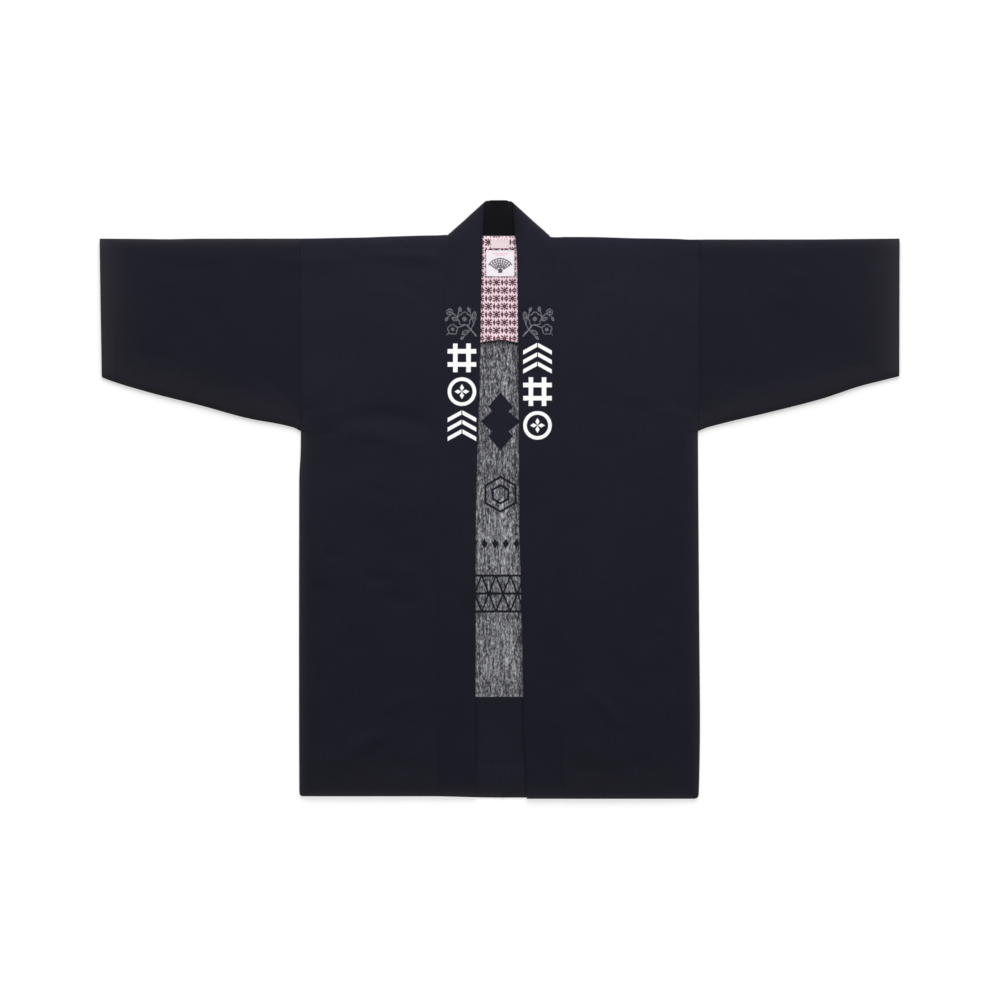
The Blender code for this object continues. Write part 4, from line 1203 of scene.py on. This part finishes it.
def threadFinish(colour):
    # a twisted cotton thread
    finish = Finish("thread" + colour.capitalize(), roughness=0.8, sheen=0.04)
    twist = finish.noise(2600.0)
    finish.dull(twist.between(0.7, 0.9))
    finish.raised(twist, 0.00004)
    return finish.colour(finish.blend(twist, *stitches[colour]))


def stitchRows(name, rows, cloth, kind, material, seed, above=stitches["above"], slant=0.0):
    # Sewing along each row, a path of points, as short raised threads that dip into the cloth at both ends.
    # A stitch lies on the first face that is met on the way down from the height above.
    faces = [face.vertices[:] for face in cloth.data.polygons]
    tree = BVHTree.FromPolygons([corner.co[:] for corner in cloth.data.vertices], faces)
    random = np.random.default_rng(seed)
    (long, pitch), around, last = stitches[kind], stitches["around"], len(stitches["form"]) - 1
    shift, twist = stitches["uneven"]
    places, faces = [], []
    for path in rows:
        path = np.array(path, float)
        walked = np.concatenate([[0.0], np.cumsum(np.hypot(*np.diff(path, axis=0).T))])
        for at in np.arange(pitch / 2.0, walked[-1] - pitch / 2.0, pitch):
            at = at + random.uniform(-shift, shift) * pitch
            here, ahead = (np.array([np.interp(d, walked, line) for line in path.T]) for d in (at, at + 1e-4))
            turn = np.arctan2(*(ahead - here)[::-1]) + slant + random.uniform(-twist, twist)
            along, aside = np.array((cos(turn), sin(turn))), np.array((-sin(turn), cos(turn)))
            first = len(places)
            for share, width, rise in stitches["form"]:
                x, y = here + along * share * long
                found = tree.ray_cast(Vector((x, y, above)), Vector((0.0, 0.0, -1.0)))[0]
                z = (0.0 if found is None else found.z) + rise * stitches["high"]
                for angle in 2.0 * pi * np.arange(around) / around:
                    x1, y1 = (x, y) + aside * width * stitches["wide"] * cos(angle)
                    places.append((x1, y1, z + width * stitches["high"] * sin(angle)))
            for a in range(first, first + last * around):
                b = a + 1 if (a - first + 1) % around else a + 1 - around
                faces.append((a, b, b + around, a + around))
            faces.append(tuple(reversed(range(first, first + around))))
            faces.append(tuple(range(first + last * around, first + (last + 1) * around)))
    attach(makeMesh(name, places, faces, [0] * len(faces), [material]))


def sewCollar(band):
    # down both fronts beside the sewn edge, and across the back of the neck
    rows = []
    for side in ("right", "left"):
        ys = np.linspace(coat["frontHemY"][side] + stitches["fromBand"], stitches["bandTopY"], 60)
        rows.append(onSide(side, [(edgeAt("sewn", side, y) - collar["sewnIn"], y) for y in ys]))
    y = coat["neckY"] + collar["sewnIn"]
    rows.append([(x, y) for x in stitches["neckX"]])
    stitchRows("stitches_collar", rows, band, "plain", threadNavy, 62)


def sewBody(side, piece):
    # the front's hem; the back's hem shows only between the fronts
    y = coat["frontHemY"][side] + surfaceFeel["hemDepth"] - surfaceFeel["stitchIn"]
    hem = onSide(side, [(edgeAt("sewn", side, y) + stitches["fromBand"], y),
                        (sideOut(side, y) - stitches["fromSide"], y)])
    stitchRows(f"stitches_hem_{side}", [hem], piece, "plain", threadNavy, 63)
    y = body["hemFoldY"] + body["hemSewnIn"]
    within = onSide(side, [(out, y) for out in stitches["backHem"][side]])
    stitchRows(f"stitches_back_{side}", [within], piece, "plain", threadNavy, 64,
               above=stitches["underBand"])


def sewCuff(side, piece):
    inward = surfaceFeel["cuffDepth"] - surfaceFeel["stitchIn"]
    topOut, lowOut = (out - inward for out in coat["cuffOut"][side])
    topY, lowY = edgeAt("shoulder", side, topOut), edgeAt("underarm", side, lowOut)
    row = onSide(side, [(lowOut, lowY + stitches["fromCuffEnds"]), (topOut, topY - stitches["fromCuffEnds"])])
    stitchRows(f"stitches_cuff_{side}", [row], piece, "plain", threadNavy, 65)


def sewFoot(piece):
    # slanted dark stitches over the lining's foot
    xs = np.linspace(-stitches["footOut"], stitches["footOut"], 57)
    row = np.stack([xs, liningFoot(xs)[0] + stitches["footIn"]], axis=1)
    stitchRows("stitches_lining", [row], piece, "short", threadFinish("maroon"), 66,
               slant=stitches["footSlant"])


def sewLabel(name, piece, material):
    (x0, y0), (width, height) = labels[name]["middle"], labels[name]["size"]
    right, up = width / 2.0 - stitches["labelIn"], height / 2.0 - stitches["labelIn"]
    row = [(x0 + x * right, y0 + y * up) for x, y in ((-1, -1), (1, -1), (1, 1), (-1, 1), (-1, -1))]
    stitchRows(f"stitches_label_{name}", [row], piece, "short", material, 67)


print("stage 1: finishes")
navyBody = navyFinish("navyCottonBody")
# the sleeves' navy, a little darker than the body's: painted shade
navySleeveShaded = navyFinish("navyCottonSleeveShaded", dark=rgb(19, 19, 28), light=rgb(27, 27, 38))
# a darker copy of the navy, partly painted shade where the band's inside shows at the back of the neck
bandInsideShaded = navyFinish("navyCottonBandInsideShaded", dark=rgb(12, 11, 14), light=rgb(18, 17, 21),
                       sheen=0.02, specular=0.05)
bandFront = printedBand(bandPrint)
bodyFinishes = [navyBody, figuredBack(backFigures)]
threadNavy = threadFinish("navy")

print("stage 2: body and sleeves")
for each in ("right", "left"):
    sewBody(each, bodyCloth(each))
    sewCuff(each, sleeveCloth(each))

print("stage 3: collar, lining and labels")
sewCollar(collarBand())
sewFoot(yokeLining())
large, small = label("large"), label("small")
sewLabel("large", large, threadFinish("white"))
sewLabel("small", small, threadFinish("pink"))

print("stage 4: floor, light and camera")
studio = {
    "floor": rgb(195, 195, 195), "floorReach": 30.0, "floorZ": -1e-4,
    "floorGlow": 0.745, "floorNearLamp": 3.28, "sky": 0.42, "white": (1.0, 1.0, 1.0, 1.0),
    "lampPlace": (0.15, 2.2, 0.95), "lampAim": (0.0, -0.1, 0.0), "lampSize": (2.6, 1.7), "lampPower": 107.0,
    "cameraPlace": (0.00075, -0.0006, 4.1692), "lens": 100.22, "sensor": 36.0,
}


def stand(name, data, place=(0.0, 0.0, 0.0)):
    thing = bpy.data.objects.new(name, data)
    thing.location = place
    bpy.context.scene.collection.objects.link(thing)
    return thing


paper = Finish("floorPaper", roughness=0.95, specular=0.1)
paper.shader.inputs["Base Color"].default_value = studio["floor"]
paper.shader.inputs["Emission Color"].default_value = studio["white"]
# the paper glows less where more of the lamp's light falls, so that it's evenly white
lampX, lampY, lampZ = studio["lampPlace"]
fromLamp = (paper.x - lampX) * (paper.x - lampX) + (paper.y - lampY) * (paper.y - lampY) + lampZ**2
glow = studio["floorGlow"] - fromLamp.make("POWER", -1.5) * studio["floorNearLamp"]
paper.tree.links.new(glow.most(0.0).socket, paper.shader.inputs["Emission Strength"])
floorMesh = bpy.data.meshes.new("floor")
far, down = studio["floorReach"], studio["floorZ"]
corners = [(x, y, down) for x, y in ((-far, -far), (far, -far), (far, far), (-far, far))]
floorMesh.from_pydata(corners, [], [(0, 1, 2, 3)])
floorMesh.materials.append(paper.material)
floor = stand("floor", floorMesh)

world = bpy.data.worlds.new("studioSky")
world.use_nodes = True
sky = world.node_tree.nodes["Background"]
sky.inputs["Color"].default_value = studio["white"]
sky.inputs["Strength"].default_value = studio["sky"]
bpy.context.scene.world = world

lampData = bpy.data.lights.new("softBox", "AREA")
lampData.shape = "RECTANGLE"
lampData.size, lampData.size_y = studio["lampSize"]
lampData.energy = studio["lampPower"]
lamp = stand("softBox", lampData, studio["lampPlace"])
lamp.rotation_euler = (Vector(studio["lampAim"]) - lamp.location).to_track_quat("-Z", "Y").to_euler()

cameraData = bpy.data.cameras.new("camera")
cameraData.lens, cameraData.sensor_width = studio["lens"], studio["sensor"]
bpy.context.scene.camera = stand("camera", cameraData, studio["cameraPlace"])
bpy.context.scene.view_settings.view_transform = "Standard"
